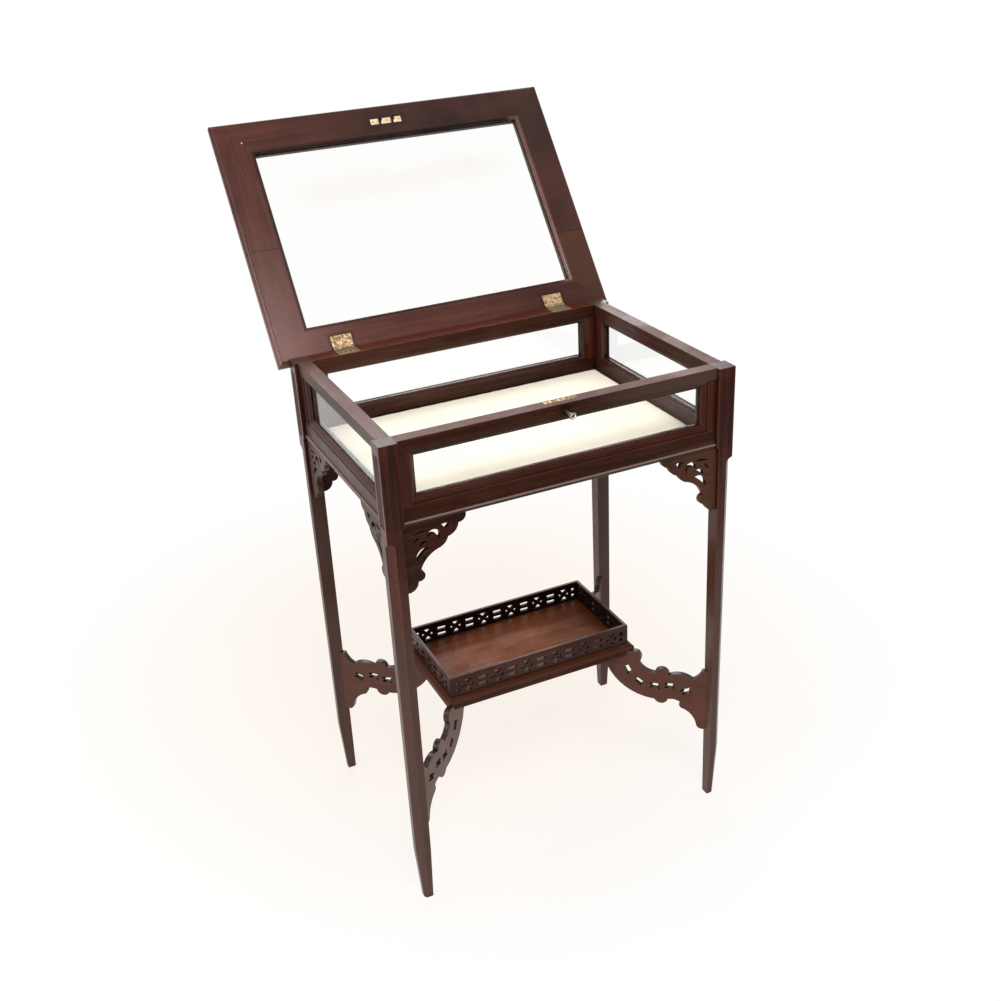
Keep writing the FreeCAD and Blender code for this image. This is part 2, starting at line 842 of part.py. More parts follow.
# ------------------------------------------------------------------ lid, made closed
def lid_slab():
    """Outline solid of the lid with its moulded edge and rounded corners."""
    nose_bottom = lid_edge_flat + lid_cove_height
    nose_edge = lid_nosing - lid_nosing_round
    nose_top = lid_thickness - lid_nosing_round / 2
    cove_middle = (
        lid_cove_hollow[0] * lid_nosing,
        nose_bottom - lid_cove_hollow[1] * lid_cove_height,
    )
    nose_middle = (lid_nosing, (nose_bottom + nose_top) / 2)
    edge = [
        (0, 0),
        (0, lid_edge_flat),
        (cove_middle, (nose_edge, nose_bottom)),
        (nose_middle, (nose_edge, nose_top)),
        (nose_edge - lid_top_bevel, lid_thickness),
        (-far, lid_thickness),
    ]
    y_range = (pin_y - lid_flat_reach, pin_y + lid_back_overhang)
    slab = moulded_slab((-lid_flat_half, lid_flat_half), y_range, edge)
    slab.translate(Vector(0, 0, lid_underside))
    rounded = box(
        (-lid_flat_half - lid_nosing, lid_flat_half + lid_nosing),
        (y_range[0] - lid_nosing, y_range[1] + lid_nosing),
        (lid_underside, lid_underside + lid_thickness),
    )
    upright = [edge for edge in rounded.Edges if abs(edge.Length - lid_thickness) < 1e-6]
    return slab.common(rounded.makeFillet(lid_corner_round, upright)).Solids[0]


def lid_opening():
    """Stepped opening of the lid: rebate from below, moulded sight edge above."""
    rebate = box(
        (-lid_opening_half, lid_opening_half),
        lid_opening_y,
        (lid_underside - sliver, lid_underside + lid_rebate_height),
    )
    low = lid_underside + lid_rebate_height - sliver
    top = lid_underside + lid_thickness
    turn = lid_sight_round * (1 - math.sqrt(0.5))
    edge = [
        (0, low),
        (0, top - lid_sight_round),
        ((turn, top - turn), (lid_sight_round, top)),
        (lid_sight_round, top + sliver),
        (-far, top + sliver),
    ]
    sight = moulded_slab(
        (-lid_opening_half + lid_rebate_width, lid_opening_half - lid_rebate_width),
        (lid_opening_y[0] + lid_rebate_width, lid_opening_y[1] - lid_rebate_width),
        edge,
    )
    return rebate.fuse(sight)


def lid_wedges():
    """Plan wedges that part the lid frame at its mitres, as one tall prism per rail."""
    outer_x = lid_flat_half + lid_nosing
    outer_front = pin_y - lid_flat_reach - lid_nosing
    outer_back = pin_y + lid_back_overhang + lid_nosing
    outer = {"front": outer_front, "back": outer_back}
    inner = {"front": lid_opening_y[0], "back": lid_opening_y[1]}
    lines = {}
    for end in ("front", "back"):
        for name, sign in (("left", -1), ("right", 1)):
            outside = Vector(sign * outer_x, outer[end], 0)
            inside = Vector(sign * lid_opening_half, inner[end], 0)
            reach = inside - outside
            lines[end, name] = (outside - reach * 0.5, inside + reach * 0.5)
    pairs = {
        "front": (("front", "left"), ("front", "right")),
        "right": (("front", "right"), ("back", "right")),
        "back": (("back", "right"), ("back", "left")),
        "left": (("back", "left"), ("front", "left")),
    }
    wedges = {}
    for name, (first, second) in pairs.items():
        plan = [lines[first][0], lines[second][0], lines[second][1], lines[first][1]]
        base = Part.Face(Part.makePolygon(plan + plan[:1]))
        base.translate(Vector(0, 0, lid_underside - far / 2))
        wedges[name] = base.extrude(Vector(0, 0, far))
    return wedges


def lid_bead_outline():
    """Section of a lid bead as (width from the rebate, height above the underside)."""
    low = lid_bead_sink
    high = lid_rebate_height - lid_pane_thickness
    middle = (lid_bead_hollow[0] * lid_bead_width, low + lid_bead_hollow[1] * (high - low))
    return [
        (0, low),
        (lid_bead_lip, low),
        (middle, (lid_bead_width, high)),
        (0, high),
    ]


def lid_beads():
    """Four beads under the lid pane; the short ones are scribed over the long ones."""
    front, back = lid_opening_y
    along = [
        prism(
            lid_bead_outline(),
            lambda width, up: Vector(-lid_opening_half, edge + sign * width, lid_underside + up),
            Vector(2 * lid_opening_half, 0, 0),
        )
        for edge, sign in ((front, 1), (back, -1))
    ]
    right = prism(
        lid_bead_outline(),
        lambda width, up: Vector(lid_opening_half - width, front, lid_underside + up),
        Vector(0, back - front, 0),
    )
    return along + [cut_all(bead, along) for bead in (mirrored(right), right)]


def lid_pane():
    """Pane of the lid, against the lip above it."""
    half = lid_opening_half - lid_pane_clearance
    low = lid_underside + lid_rebate_height - lid_pane_thickness
    return box(
        (-half, half),
        (lid_opening_y[0] + lid_pane_clearance, lid_opening_y[1] - lid_pane_clearance),
        (low, low + lid_pane_thickness),
    )


def opened(shape):
    """Swing a piece of the closed lid to the open rest pose."""
    placed = shape.copy()
    placed.rotate(Vector(0, pin_y, pin_z), Vector(1, 0, 0), -lid_open_angle)
    return placed


# ------------------------------------------------------------------ hinges and screws
def knuckle_ranges(x, fixed):
    """X ranges of the knuckles of the case leaf, or of the lid leaf."""
    width = hinge_width / knuckle_count
    ranges = []
    for number in range(knuckle_count):
        if (number % 2 == 0) == fixed:
            start = x - hinge_width / 2 + number * width
            low = start + (knuckle_gap / 2 if number else 0)
            high = start + width - (knuckle_gap / 2 if number < knuckle_count - 1 else 0)
            ranges.append((low, high))
    return ranges


def along_pin(radius, x_range):
    """Cylinder round the hinge line."""
    return bar(radius, Vector(x_range[0], pin_y, pin_z), Vector(x_range[1], pin_y, pin_z))


def hinge_leaf(x, fixed):
    """One leaf of a hinge with its knuckles, the lid closed."""
    if fixed:
        y_range = (pin_y - hinge_case_leaf, pin_y)
        z_range = (case_height - hinge_leaf_thickness, case_height)
    else:
        y_range = (pin_y - hinge_lid_leaf, pin_y)
        z_range = (lid_underside, lid_underside + hinge_leaf_thickness)
    plate = box(about(x, hinge_width), y_range, z_range)
    room = [
        along_pin(knuckle_radius + knuckle_clearance, (low - knuckle_gap, high + knuckle_gap))
        for low, high in knuckle_ranges(x, not fixed)
    ]
    knuckles = [along_pin(knuckle_radius, reach) for reach in knuckle_ranges(x, fixed)]
    bore = hinge_pin_radius + (hinge_pin_seat if fixed else hinge_pin_running)
    leaf = plate.cut(room).fuse(knuckles).cut(along_pin(bore, (-far, far)))
    return leaf.removeSplitter()


def hinge_recess(x, fixed):
    """Wood taken out for a leaf and for the knuckles."""
    if fixed:
        y_range = (pin_y - hinge_case_leaf, far)
        z_range = (case_height - hinge_leaf_thickness, case_height + sliver)
    else:
        y_range = (pin_y - hinge_lid_leaf, pin_y)
        z_range = (lid_underside - sliver, lid_underside + hinge_leaf_thickness)
    round_pin = along_pin(
        knuckle_radius + knuckle_clearance,
        (x - hinge_width / 2 - knuckle_clearance, x + hinge_width / 2 + knuckle_clearance),
    )
    return [box(about(x, hinge_width), y_range, z_range), round_pin]


def screw(head, inward, scale=1.0):
    """Countersunk screw with its head flush at a point, and no slot yet."""
    head_height = screw_head_height * scale
    head_radius = screw_head_radius * scale
    shank_radius = screw_shank_radius * scale
    cone = Part.makeCone(head_radius, shank_radius, head_height, head, inward)
    shank = bar(shank_radius, head + inward * head_height / 2, head + inward * screw_length * scale)
    return cone.fuse(shank).removeSplitter()


def slotted(solid, head, scale=1.0):
    """Screw with the driver slot cut in its head."""
    tool = box(
        about(head.x, 4 * screw_head_radius * scale),
        about(head.y, screw_slot_width * scale),
        about(head.z, 2 * screw_slot_depth * scale),
    )
    return solid.cut(tool).Solids[0]


# ------------------------------------------------------------------ lock, link plate and key
def front_depth(depth):
    """Y of a depth behind the front faces of the blocks."""
    return depth - case_depth / 2


def keyhole(depth_range):
    """Round hole with a slot below it for the bit."""
    low, high = (front_depth(depth) for depth in depth_range)
    hole = bar(keyhole_radius, Vector(0, low, key_z), Vector(0, high, key_z))
    bit_slot = box(about(0, keyhole_slot_width), (low, high), (key_z - keyhole_slot_reach, key_z))
    return hole.fuse(bit_slot)


def lock_solid():
    """Lock case with its selvedge, let into the front top rail."""
    length = about(0, lock_body_length)
    top = case_height - selvedge_thickness
    outside = box(
        length,
        (front_depth(lock_front_depth), front_depth(rail_inner)),
        (lock_bottom, top),
    )
    selvedge = box(
        about(0, selvedge_length),
        (front_depth(rail_inner - selvedge_width), front_depth(rail_inner)),
        (top, case_height),
    )
    return outside.fuse(selvedge).removeSplitter()


def lock_room():
    """Hollow of the lock and the slots that admit the loops of the link plate."""
    inside = box(
        about(0, lock_body_length - 2 * lock_plate),
        (front_depth(lock_front_depth + lock_plate), front_depth(rail_inner - lock_plate)),
        (lock_bottom + lock_plate, case_height - selvedge_thickness),
    )
    width = link_loop_width + 2 * link_loop_clearance
    slots = [
        box(
            about(x, link_loop_thickness + 2 * link_loop_clearance),
            about(front_depth(loop_depth), width),
            (case_height - selvedge_thickness - sliver, case_height + sliver),
        )
        for x in (-link_loop_x, link_loop_x)
    ]
    return [inside] + slots + [keyhole((lock_front_depth - sliver, lock_front_depth + lock_plate + sliver))]


def drill_pin():
    """Pin in the back plate of the lock that the key turns on."""
    return bar(
        drill_pin_radius,
        Vector(0, front_depth(rail_inner - lock_plate), key_z),
        Vector(0, front_depth(drill_pin_front_depth), key_z),
    )


def lock_bolt():
    """Sliding bolt: a bar with a hook beside each loop."""
    depth = front_depth(loop_depth) - bolt_thickness / 2
    bar_low = lock_bottom + lock_plate + bolt_clearance
    bar_high = case_height - bolt_bar_top
    finger_top = case_height - bolt_finger_drop
    finger = (finger_top - bolt_finger_height, finger_top)
    tip = link_loop_x - link_loop_thickness / 2 - bolt_finger_gap
    stem = (tip - bolt_travel - bolt_stem_width, tip - bolt_travel)
    other = -2 * link_loop_x
    outlines = [
        rectangle((stem[0] + other, bolt_bar_end), (bar_low, bar_high)),
        rectangle(stem, (bar_low, finger_top)),
        rectangle((stem[0], tip), finger),
        rectangle((stem[0] + other, stem[1] + other), (bar_low, finger_top)),
        rectangle((stem[0] + other, tip + other), finger),
    ]
    room = drill_pin_radius + bolt_clearance
    pin_slot = rectangle((-bolt_travel - room, room), (key_z - room, key_z + room))

    def plate(outline):
        return prism(outline, lambda x, z: Vector(x, depth, z), Vector(0, bolt_thickness, 0))

    parts = [plate(outline) for outline in outlines]
    return parts[0].fuse(parts[1:]).removeSplitter().cut(plate(pin_slot)).Solids[0]


def key_solid():
    """Barrel key with its bow in line with its bit, turned a little from its way in."""
    barrel_end = front_depth(lock_front_depth + lock_plate + key_bit_clearance + key_bit_length)
    bow_near = front_depth(-key_shank_out)
    axis_end = Vector(0, barrel_end, key_z)
    shank = bar(key_shank_radius, Vector(0, bow_near, key_z), axis_end)
    bit = box(
        about(0, key_bit_thickness),
        (barrel_end - key_bit_length, barrel_end),
        (key_z - key_bit_reach, key_z - key_shank_radius / 2),
    )
    bow_middle = Vector(0, bow_near - key_bow_radius, key_z)
    bow = Part.makeTorus(key_bow_radius, key_bow_wire, bow_middle, Vector(1, 0, 0))
    collar_start = Vector(0, bow_near + key_collar_length, key_z)
    collar = bar(key_collar_radius, collar_start, collar_start + Vector(0, key_collar_length, 0))
    bore = bar(
        drill_pin_radius + key_barrel_running,
        axis_end - Vector(0, key_barrel_bore, 0),
        axis_end + Vector(0, sliver, 0),
    )
    whole = shank.fuse([bit, bow, collar]).removeSplitter().cut(bore).Solids[0]
    whole.rotate(axis_end, Vector(0, 1, 0), key_rest_turn)
    return whole


def lock_drum():
    """Drum round the barrel of the key, with a slot that takes the bit."""
    start = Vector(0, front_depth(lock_front_depth + lock_plate + drum_clearance), key_z)
    end = start + Vector(0, drum_length, 0)
    drum = bar(key_z - lock_bottom - lock_plate - drum_rim_clearance, start, end)
    hole = bar(key_shank_radius + drum_clearance, start, end)
    slot = box(about(0, drum_slot_width), (start.y, end.y), (key_z - far, key_z))
    drum = cut_all(drum, [hole, slot])
    drum.rotate(start, Vector(0, 1, 0), key_rest_turn)
    return drum


def link_plate():
    """Plate in the closed lid with two loops that drop into the lock."""
    middle = pin_y - link_plate_reach
    plate = box(
        about(0, link_plate_length),
        about(middle, link_plate_width),
        (lid_underside, lid_underside + link_plate_thickness),
    )
    loops = []
    for x in (-link_loop_x, link_loop_x):
        bottom = lid_underside - link_loop_drop
        loop = box(
            about(x, link_loop_thickness),
            about(middle, link_loop_width),
            (bottom, lid_underside + link_plate_thickness / 2),
        )
        window = box(
            about(x, link_loop_thickness + 2 * sliver),
            about(middle, link_loop_width - 2 * link_loop_wall),
            (bottom + link_loop_foot, bottom + link_loop_foot + link_loop_window),
        )
        loops.append(loop.cut(window))
    return plate.fuse(loops).removeSplitter()


# ------------------------------------------------------------------ build the case
lock_outside = lock_solid()
up = Vector(0, 0, 1)
down = Vector(0, 0, -1)
hinge_places = (hinge_left_x, hinge_right_x)

def screw_heads(leaf_screws, height, plate_screw_x, plate_y):
    """Head places and scales of the screws of two hinge leaves and one lock plate."""
    outer, middle = leaf_screws
    heads = []
    for hinge_x in hinge_places:
        for x, reach in ((-hinge_screw_x, outer), (hinge_screw_x, outer), (0, middle)):
            heads.append((Vector(hinge_x + x, pin_y - reach, height), 1.0))
    for x in (-plate_screw_x, plate_screw_x):
        heads.append((Vector(x, plate_y, height), small_screw_scale))
    return heads


selvedge_y = front_depth(rail_inner - selvedge_width / 2)
case_screw_heads = screw_heads(case_leaf_screws, case_height, selvedge_screw_x, selvedge_y)
lid_screw_heads = screw_heads(
    lid_leaf_screws, lid_underside, link_screw_x, pin_y - link_plate_reach
)
case_screws = [screw(head, down, scale) for head, scale in case_screw_heads]
lid_screws = [screw(head, up, scale) for head, scale in lid_screw_heads]

case_members = []
for side in side_turns:
    rails = {"top": to_side(top_rail(side), side), "bottom": to_side(bottom_rail(side), side)}
    uprights = [to_side(stile, side) for stile in stiles(side, [top_rail(side), bottom_rail(side)])]
    case_members += list(rails.values())
    if side == "front":
        key_way = keyhole((-sliver, lock_front_depth + sliver))
        rails["top"] = cut_all(rails["top"], [lock_outside, key_way] + case_screws)
    if side == "back":
        recesses = [tool for x in hinge_places for tool in hinge_recess(x, True)]
        rails["top"] = cut_all(rails["top"], recesses + case_screws)
    pieces[side + "_top_rail"] = [rails["top"]]
    pieces[side + "_bottom_rail"] = [rails["bottom"]]
    pieces[side + "_stiles"] = uprights
    pieces[side + "_pane"] = [to_side(pane(side), side)]
    right_bracket = bracket(side)
    ends = ("right", "left") if side in ("front", "back") else ("back", "front")
    if side in ("back", "left"):
        ends = ends[::-1]
    pieces[side + "_bracket_" + ends[0]] = [to_side(right_bracket, side)]
    pieces[side + "_bracket_" + ends[1]] = [to_side(mirrored(right_bracket), side)]
pieces["case_glazing_beads"] = [
    to_side(bead, side) for side in side_turns for bead in glazing_beads(side)
]
pieces["base_bead_mouldings"] = [to_side(base_bead(side), side) for side in side_turns]

leg = leg_shape()
dowels = {corner: stretcher_dowels(corner) for corner in corners}
for corner in corners:
    placed = to_corner(leg, corner)
    pieces["leg_" + corner] = [cut_all(placed, case_members + dowels[corner])]

inner_half_x = case_length / 2 - rail_inner
inner_half_y = case_depth / 2 - rail_inner
board = box(
    (-inner_half_x - groove_depth, inner_half_x + groove_depth),
    (-inner_half_y - groove_depth, inner_half_y + groove_depth),
    (board_bottom, board_bottom + board_thickness),
)
blocks = [to_corner(box((0, block_side), (0, block_side), (0, case_height)), c) for c in corners]
pieces["case_bottom_board"] = [cut_all(board, blocks)]
pieces["display_lining"] = [box(
    (-inner_half_x + lining_clearance, inner_half_x - lining_clearance),
    (-inner_half_y + lining_clearance, inner_half_y - lining_clearance),
    (lining_bottom, lining_bottom + lining_thickness),
)]

# ------------------------------------------------------------------ build the shelf
all_dowels = [dowel for corner in corners for dowel in dowels[corner]]
shelf = shelf_board()
for corner in corners:
    solid = stretcher(corner, [pieces["leg_" + corner][0], shelf])
    pieces["stretcher_" + corner] = [cut_all(solid, dowels[corner])]
pieces["stretcher_dowels"] = all_dowels
pieces["shelf_board"] = [cut_all(shelf, all_dowels)]
for side in side_turns:
    long_side = side in ("front", "back")
    length = gallery_length if long_side else gallery_depth
    out = (gallery_depth if long_side else gallery_length) / 2
    rail = gallery_rail(length, fret_long_count if long_side else fret_short_count)
    rail.translate(Vector(0, -out, 0))
    rail.rotate(Vector(0, 0, 0), up, side_turns[side])
    pieces["gallery_" + side] = [rail]

# ------------------------------------------------------------------ build the lock
pieces["lock_body"] = [cut_all(lock_outside, lock_room() + case_screws)]
pieces["lock_drill_pin"] = [drill_pin()]
pieces["lock_bolt"] = [lock_bolt()]
pieces["key"] = [key_solid()]
pieces["lock_drum"] = [lock_drum()]

# ------------------------------------------------------------------ build the hinges
case_leaves = [hinge_leaf(x, True).cut(case_screws).Solids[0] for x in hinge_places]
lid_leaves = [hinge_leaf(x, False).cut(lid_screws).Solids[0] for x in hinge_places]
pieces["hinge_case_leaves"] = case_leaves
pieces["hinge_pins"] = [along_pin(hinge_pin_radius, about(x, hinge_width)) for x in hinge_places]
pieces["hinge_lid_leaves"] = [opened(leaf) for leaf in lid_leaves]
pieces["case_screws"] = [
    slotted(solid, head, scale)
    for solid, (head, scale) in zip(case_screws, case_screw_heads)
]
pieces["lid_screws"] = [
    opened(slotted(solid, head, scale))
    for solid, (head, scale) in zip(lid_screws, lid_screw_heads)
]

# ------------------------------------------------------------------ build the lid
plate = link_plate()
patch = box(
    about(0, patch_length),
    about(pin_y - link_plate_reach, patch_width),
    (lid_underside, lid_underside + patch_thickness),
)
lid_recesses = [tool for x in hinge_places for tool in hinge_recess(x, False)]
ring = lid_slab().cut(lid_opening()).cut(lid_recesses + [patch] + lid_screws)
rails = {name: ring.common(wedge) for name, wedge in lid_wedges().items()}
pieces["lid_front_rail"] = [opened(rails["front"].Solids[0])]
pieces["lid_back_rail"] = [opened(rails["back"].Solids[0])]
for name, joint in (("left", left_rail_joint), ("right", right_rail_joint)):
    joint_y = pin_y - joint
    halves = [
        box((-far, far), y_range, (lid_underside - sliver, lid_underside + 2 * lid_thickness))
        for y_range in ((joint_y - far, joint_y), (joint_y, joint_y + far))
    ]
    pieces["lid_" + name + "_rail"] = [opened(rails[name].common(half).Solids[0]) for half in halves]
pieces["lid_pane"] = [opened(lid_pane())]
pieces["lid_glazing_beads"] = [opened(bead) for bead in lid_beads()]
pieces["lid_patch"] = [opened(cut_all(patch, [plate] + lid_screws))]
pieces["link_plate"] = [opened(cut_all(plate, lid_screws))]

# ------------------------------------------------------------------ write one file per piece
os.makedirs("parts", exist_ok=True)
for name, solids in sorted(pieces.items()):
    shape = solids[0] if len(solids) == 1 else Part.makeCompound(solids)
    shape.exportStep("parts/" + name + ".step")
    print(f"{name:24} {len(shape.Solids):3} solids {shape.Volume / 1000:9.2f} cm3 valid {shape.isValid()}")
print(len(pieces), "pieces")
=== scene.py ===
# %% [markdown]
# # A collectors display table
#
# The table is a small mahogany stand with a glazed case on top. The case has a lifting glazed lid,
# and below it four tapering legs hold a shelf with a pierced gallery on four curved stretchers.
# The packed CAD model gives every part its place and size. Here each part gets its finish: polish,
# grain, rubbed edges, cloth, glass and brass. We start by loading that model as a frame.

import json
import math

import bmesh
import bpy
from mathutils import Matrix, Vector
from mathutils.bvhtree import BVHTree

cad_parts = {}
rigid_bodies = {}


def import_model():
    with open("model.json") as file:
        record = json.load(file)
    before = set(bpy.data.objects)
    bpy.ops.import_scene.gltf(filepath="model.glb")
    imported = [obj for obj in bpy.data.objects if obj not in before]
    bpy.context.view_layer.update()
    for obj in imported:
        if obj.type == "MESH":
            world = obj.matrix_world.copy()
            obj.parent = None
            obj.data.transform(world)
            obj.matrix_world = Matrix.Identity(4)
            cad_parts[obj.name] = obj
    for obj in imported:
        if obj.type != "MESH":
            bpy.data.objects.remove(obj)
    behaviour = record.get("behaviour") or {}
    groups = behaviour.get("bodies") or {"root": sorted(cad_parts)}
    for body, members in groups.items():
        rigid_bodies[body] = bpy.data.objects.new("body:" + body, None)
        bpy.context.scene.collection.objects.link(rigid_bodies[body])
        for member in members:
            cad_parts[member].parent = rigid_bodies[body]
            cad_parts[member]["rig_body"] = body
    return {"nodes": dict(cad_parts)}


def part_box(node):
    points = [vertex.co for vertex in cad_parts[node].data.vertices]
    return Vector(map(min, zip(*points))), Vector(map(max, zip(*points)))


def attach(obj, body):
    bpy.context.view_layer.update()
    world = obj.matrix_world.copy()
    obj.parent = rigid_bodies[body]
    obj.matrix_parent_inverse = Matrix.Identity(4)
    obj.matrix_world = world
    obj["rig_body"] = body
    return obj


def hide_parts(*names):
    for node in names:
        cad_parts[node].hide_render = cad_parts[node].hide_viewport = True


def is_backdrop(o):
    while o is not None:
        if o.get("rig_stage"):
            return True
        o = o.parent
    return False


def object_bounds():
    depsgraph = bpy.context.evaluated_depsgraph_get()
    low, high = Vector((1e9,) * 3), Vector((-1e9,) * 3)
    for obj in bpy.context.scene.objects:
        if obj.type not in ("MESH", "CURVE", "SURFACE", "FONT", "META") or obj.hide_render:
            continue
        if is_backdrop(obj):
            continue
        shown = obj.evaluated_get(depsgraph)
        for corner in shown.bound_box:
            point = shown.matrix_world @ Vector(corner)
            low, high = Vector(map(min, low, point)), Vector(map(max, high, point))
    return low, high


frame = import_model()
cad_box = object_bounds()
nodes = frame["nodes"]

# %% [markdown]
# ## The camera
#
# A camera is a point, three directions and a lens. Blender's camera looks along its own minus Z
# with Y up, so the three directions are the columns of its matrix. The camera stands to the left
# of the table, above the open lid's middle, and is rolled a few degrees. Writing the matrix down
# is surer than aiming at a target, because the roll stays exact.

# %% The camera
CAMERA_PLACE = Vector((-0.7005, -1.5225, 1.3626))
CAMERA_TURN = math.radians(23.28)     # to the right of straight ahead, seen from above
CAMERA_DIP = math.radians(26.64)
CAMERA_ROLL = math.radians(-3.41)
FOCAL_PIXELS = 1235.3
IMAGE_WIDTH, IMAGE_HEIGHT = 1000, 1001
MIDDLE_PIXEL = (484.1, 505.8)
SENSOR = 36.0


def camera_axes():
    """Right, up and forward of the rolled camera."""
    forward = Vector((
        math.sin(CAMERA_TURN) * math.cos(CAMERA_DIP),
        math.cos(CAMERA_TURN) * math.cos(CAMERA_DIP),
        -math.sin(CAMERA_DIP),
    ))
    level = Vector((math.cos(CAMERA_TURN), -math.sin(CAMERA_TURN), 0))
    raised = level.cross(forward)
    right = math.cos(CAMERA_ROLL) * level + math.sin(CAMERA_ROLL) * raised
    up = math.cos(CAMERA_ROLL) * raised - math.sin(CAMERA_ROLL) * level
    return right, up, forward


right, up, forward = camera_axes()
bpy.ops.object.camera_add()
camera = bpy.context.object
camera.name = "camera"
camera.matrix_world = Matrix([
    [right[row], up[row], -forward[row], CAMERA_PLACE[row]] for row in range(3)
] + [[0, 0, 0, 1]])
camera.data.sensor_fit = "HORIZONTAL"
camera.data.sensor_width = SENSOR
camera.data.lens = SENSOR * FOCAL_PIXELS / IMAGE_WIDTH
camera.data.shift_x = (IMAGE_WIDTH / 2 - MIDDLE_PIXEL[0]) / IMAGE_WIDTH
camera.data.shift_y = (MIDDLE_PIXEL[1] - IMAGE_HEIGHT / 2) / IMAGE_WIDTH
camera.data.clip_end = 100
bpy.context.scene.camera = camera
print("lens", round(camera.data.lens, 2), "mm")

# %% [markdown]
# ## A way to write shaders
#
# A material is a graph of nodes. Sums on values are easier to read as Python, so a small class
# wraps a socket: adding two of them makes the Math node that adds them. A second class holds one
# material, and its `node` method makes any other node from its type, settings and inputs.


# %% Sums on sockets
class Value:
    """A socket that takes part in Python sums."""

    def __init__(self, graph, socket):
        self.graph = graph
        self.socket = socket

    def maths(self, operation, *others):
        """The result of a Math node on this value and the others."""
        return self.graph.node("Math", {"operation": operation}, [self, *others])

    def __add__(self, other):
        return self.maths("ADD", other)

    __radd__ = __add__

    def __sub__(self, other):
        return self.maths("SUBTRACT", other)

    def __rsub__(self, other):
        return (self * -1).maths("ADD", other)

    def __mul__(self, other):
        return self.maths("MULTIPLY", other)

    __rmul__ = __mul__

    def __truediv__(self, other):
        return self.maths("DIVIDE", other)

    def size(self):
        """Distance from zero."""
        return self.maths("ABSOLUTE")

    def most(self, other):
        """The larger of the two."""
        return self.maths("MAXIMUM", other)

    def ramp(self, low, high):
        """0 at low, 1 at high, with a soft start and end. low may be the larger."""
        settings = {"interpolation_type": "SMOOTHSTEP"}
        if low > high:
            return 1 - self.ramp(high, low)
        return self.graph.node("MapRange", settings, {0: self, 1: low, 2: high, 3: 0.0, 4: 1.0})


print("a socket can take part in sums such as", ", ".join(n for n in vars(Value) if n[0] != "_"))


# %% One graph and one finish
class Graph:
    """A tree of nodes, and ways to add to it."""

    def __init__(self, tree):
        self.tree = tree

    def node(self, kind, settings=None, inputs=(), output=0):
        """Make a node, set it up, feed it, and return one of its outputs."""
        made = self.tree.nodes.new("ShaderNode" + kind)
        for key, value in (settings or {}).items():
            setattr(made, key, value)
        pairs = inputs.items() if isinstance(inputs, dict) else enumerate(inputs)
        for key, value in pairs:
            if isinstance(value, Value):
                self.tree.links.new(value.socket, made.inputs[key])
            else:
                made.inputs[key].default_value = value
        return Value(self, made.outputs[output])


class Finish(Graph):
    """A material with a Principled shader, and ways to feed it."""

    def __init__(self, name, **constants):
        self.material = bpy.data.materials.new(name)
        self.material.use_nodes = True
        super().__init__(self.material.node_tree)
        self.shader = self.tree.nodes["Principled BSDF"]
        self.output = self.tree.nodes["Material Output"]
        for key, value in constants.items():
            self.shader.inputs[key.replace("_", " ")].default_value = value

    def feed(self, name, value):
        """Link a value to the shader."""
        self.tree.links.new(value.socket, self.shader.inputs[name])

    def place(self):
        """Place on the table, in metres."""
        return self.node("TexCoord", output="Object")

    def parts(self, vector):
        """The three numbers of a vector."""
        return [self.node("SeparateXYZ", None, [vector], axis) for axis in range(3)]

    def vector(self, x, y, z):
        """A vector from three numbers."""
        return self.node("CombineXYZ", None, [x, y, z])

    def shifted(self, vector, move):
        """The vector plus a fixed one."""
        return self.node("VectorMath", {"operation": "ADD"}, [vector, move])

    def reach(self, vector, direction):
        """How far a point lies along a direction."""
        return self.node("VectorMath", {"operation": "DOT_PRODUCT"}, [vector, direction], "Value")

    def noise(self, vector, scale, detail=2.0, roughness=0.5):
        """Cloudy noise from 0 to 1."""
        inputs = {"Vector": vector, "Scale": scale, "Detail": detail, "Roughness": roughness}
        return self.node("TexNoise", None, inputs)

    def blend(self, share, low, high):
        """Colour low where share is 0, and high where it is 1."""
        low, high = ((*c, 1) if isinstance(c, tuple) else c for c in (low, high))
        return self.node("Mix", {"data_type": "RGBA"}, {0: share, 6: low, 7: high}, 2)

    def dents(self, height, distance, strength=1.0):
        """Feed the shader a bumpy normal. distance is the height of 1, in metres."""
        inputs = {"Strength": strength, "Distance": distance, "Height": height}
        self.feed("Normal", self.node("Bump", None, inputs))


def shade(red, green, blue):
    """A screen colour of three numbers up to 255, as the linear colour that shaders use."""
    def linear(part):
        part = part / 255
        return part / 12.92 if part <= 0.04045 else ((part + 0.055) / 1.055) ** 2.4
    return tuple(linear(part) for part in (red, green, blue))


print("the screen grey 128 sends back", round(shade(128, 128, 128)[0], 2), "of the light")

# %% [markdown]
# ## Mahogany
#
# Old polished mahogany is a deep red brown. Close to it one sees three sizes of pattern: wide soft
# bands where the tree's rings were cut, narrow streaks, and thousands of short dark pores that all
# run with the grain. All three are noise that is stretched along the grain: a point's reach along
# the grain is divided by 10 or more before the noise is asked, so that it changes slowly that way.
# The direction of the grain is a vector, so the same recipe serves the legs, the rails and the
# sloping lid. The polish is a clear coat over the wood, thinner in patches and gone in grooves.

# %% The mahogany recipe
DEEP = shade(50, 19, 12)
MIDDLE = shade(76, 33, 21)
LIGHT = shade(100, 50, 32)
PORE = shade(24, 9, 7)
SHADE_AND_GRIME = shade(12, 5, 4)
PORE_DEPTH = 0.0001
GROOVE_REACH, CORNER_REACH = 0.0022, 0.012   # how far from a wall the painted shade and grime reach


def grain_frame(along):
    """Two directions square to the grain and to each other."""
    along = Vector(along).normalized()
    helper = Vector((0, 0, 1)) if abs(along.z) < 0.9 else Vector((1, 0, 0))
    across = along.cross(helper).normalized()
    return along, across, along.cross(across)


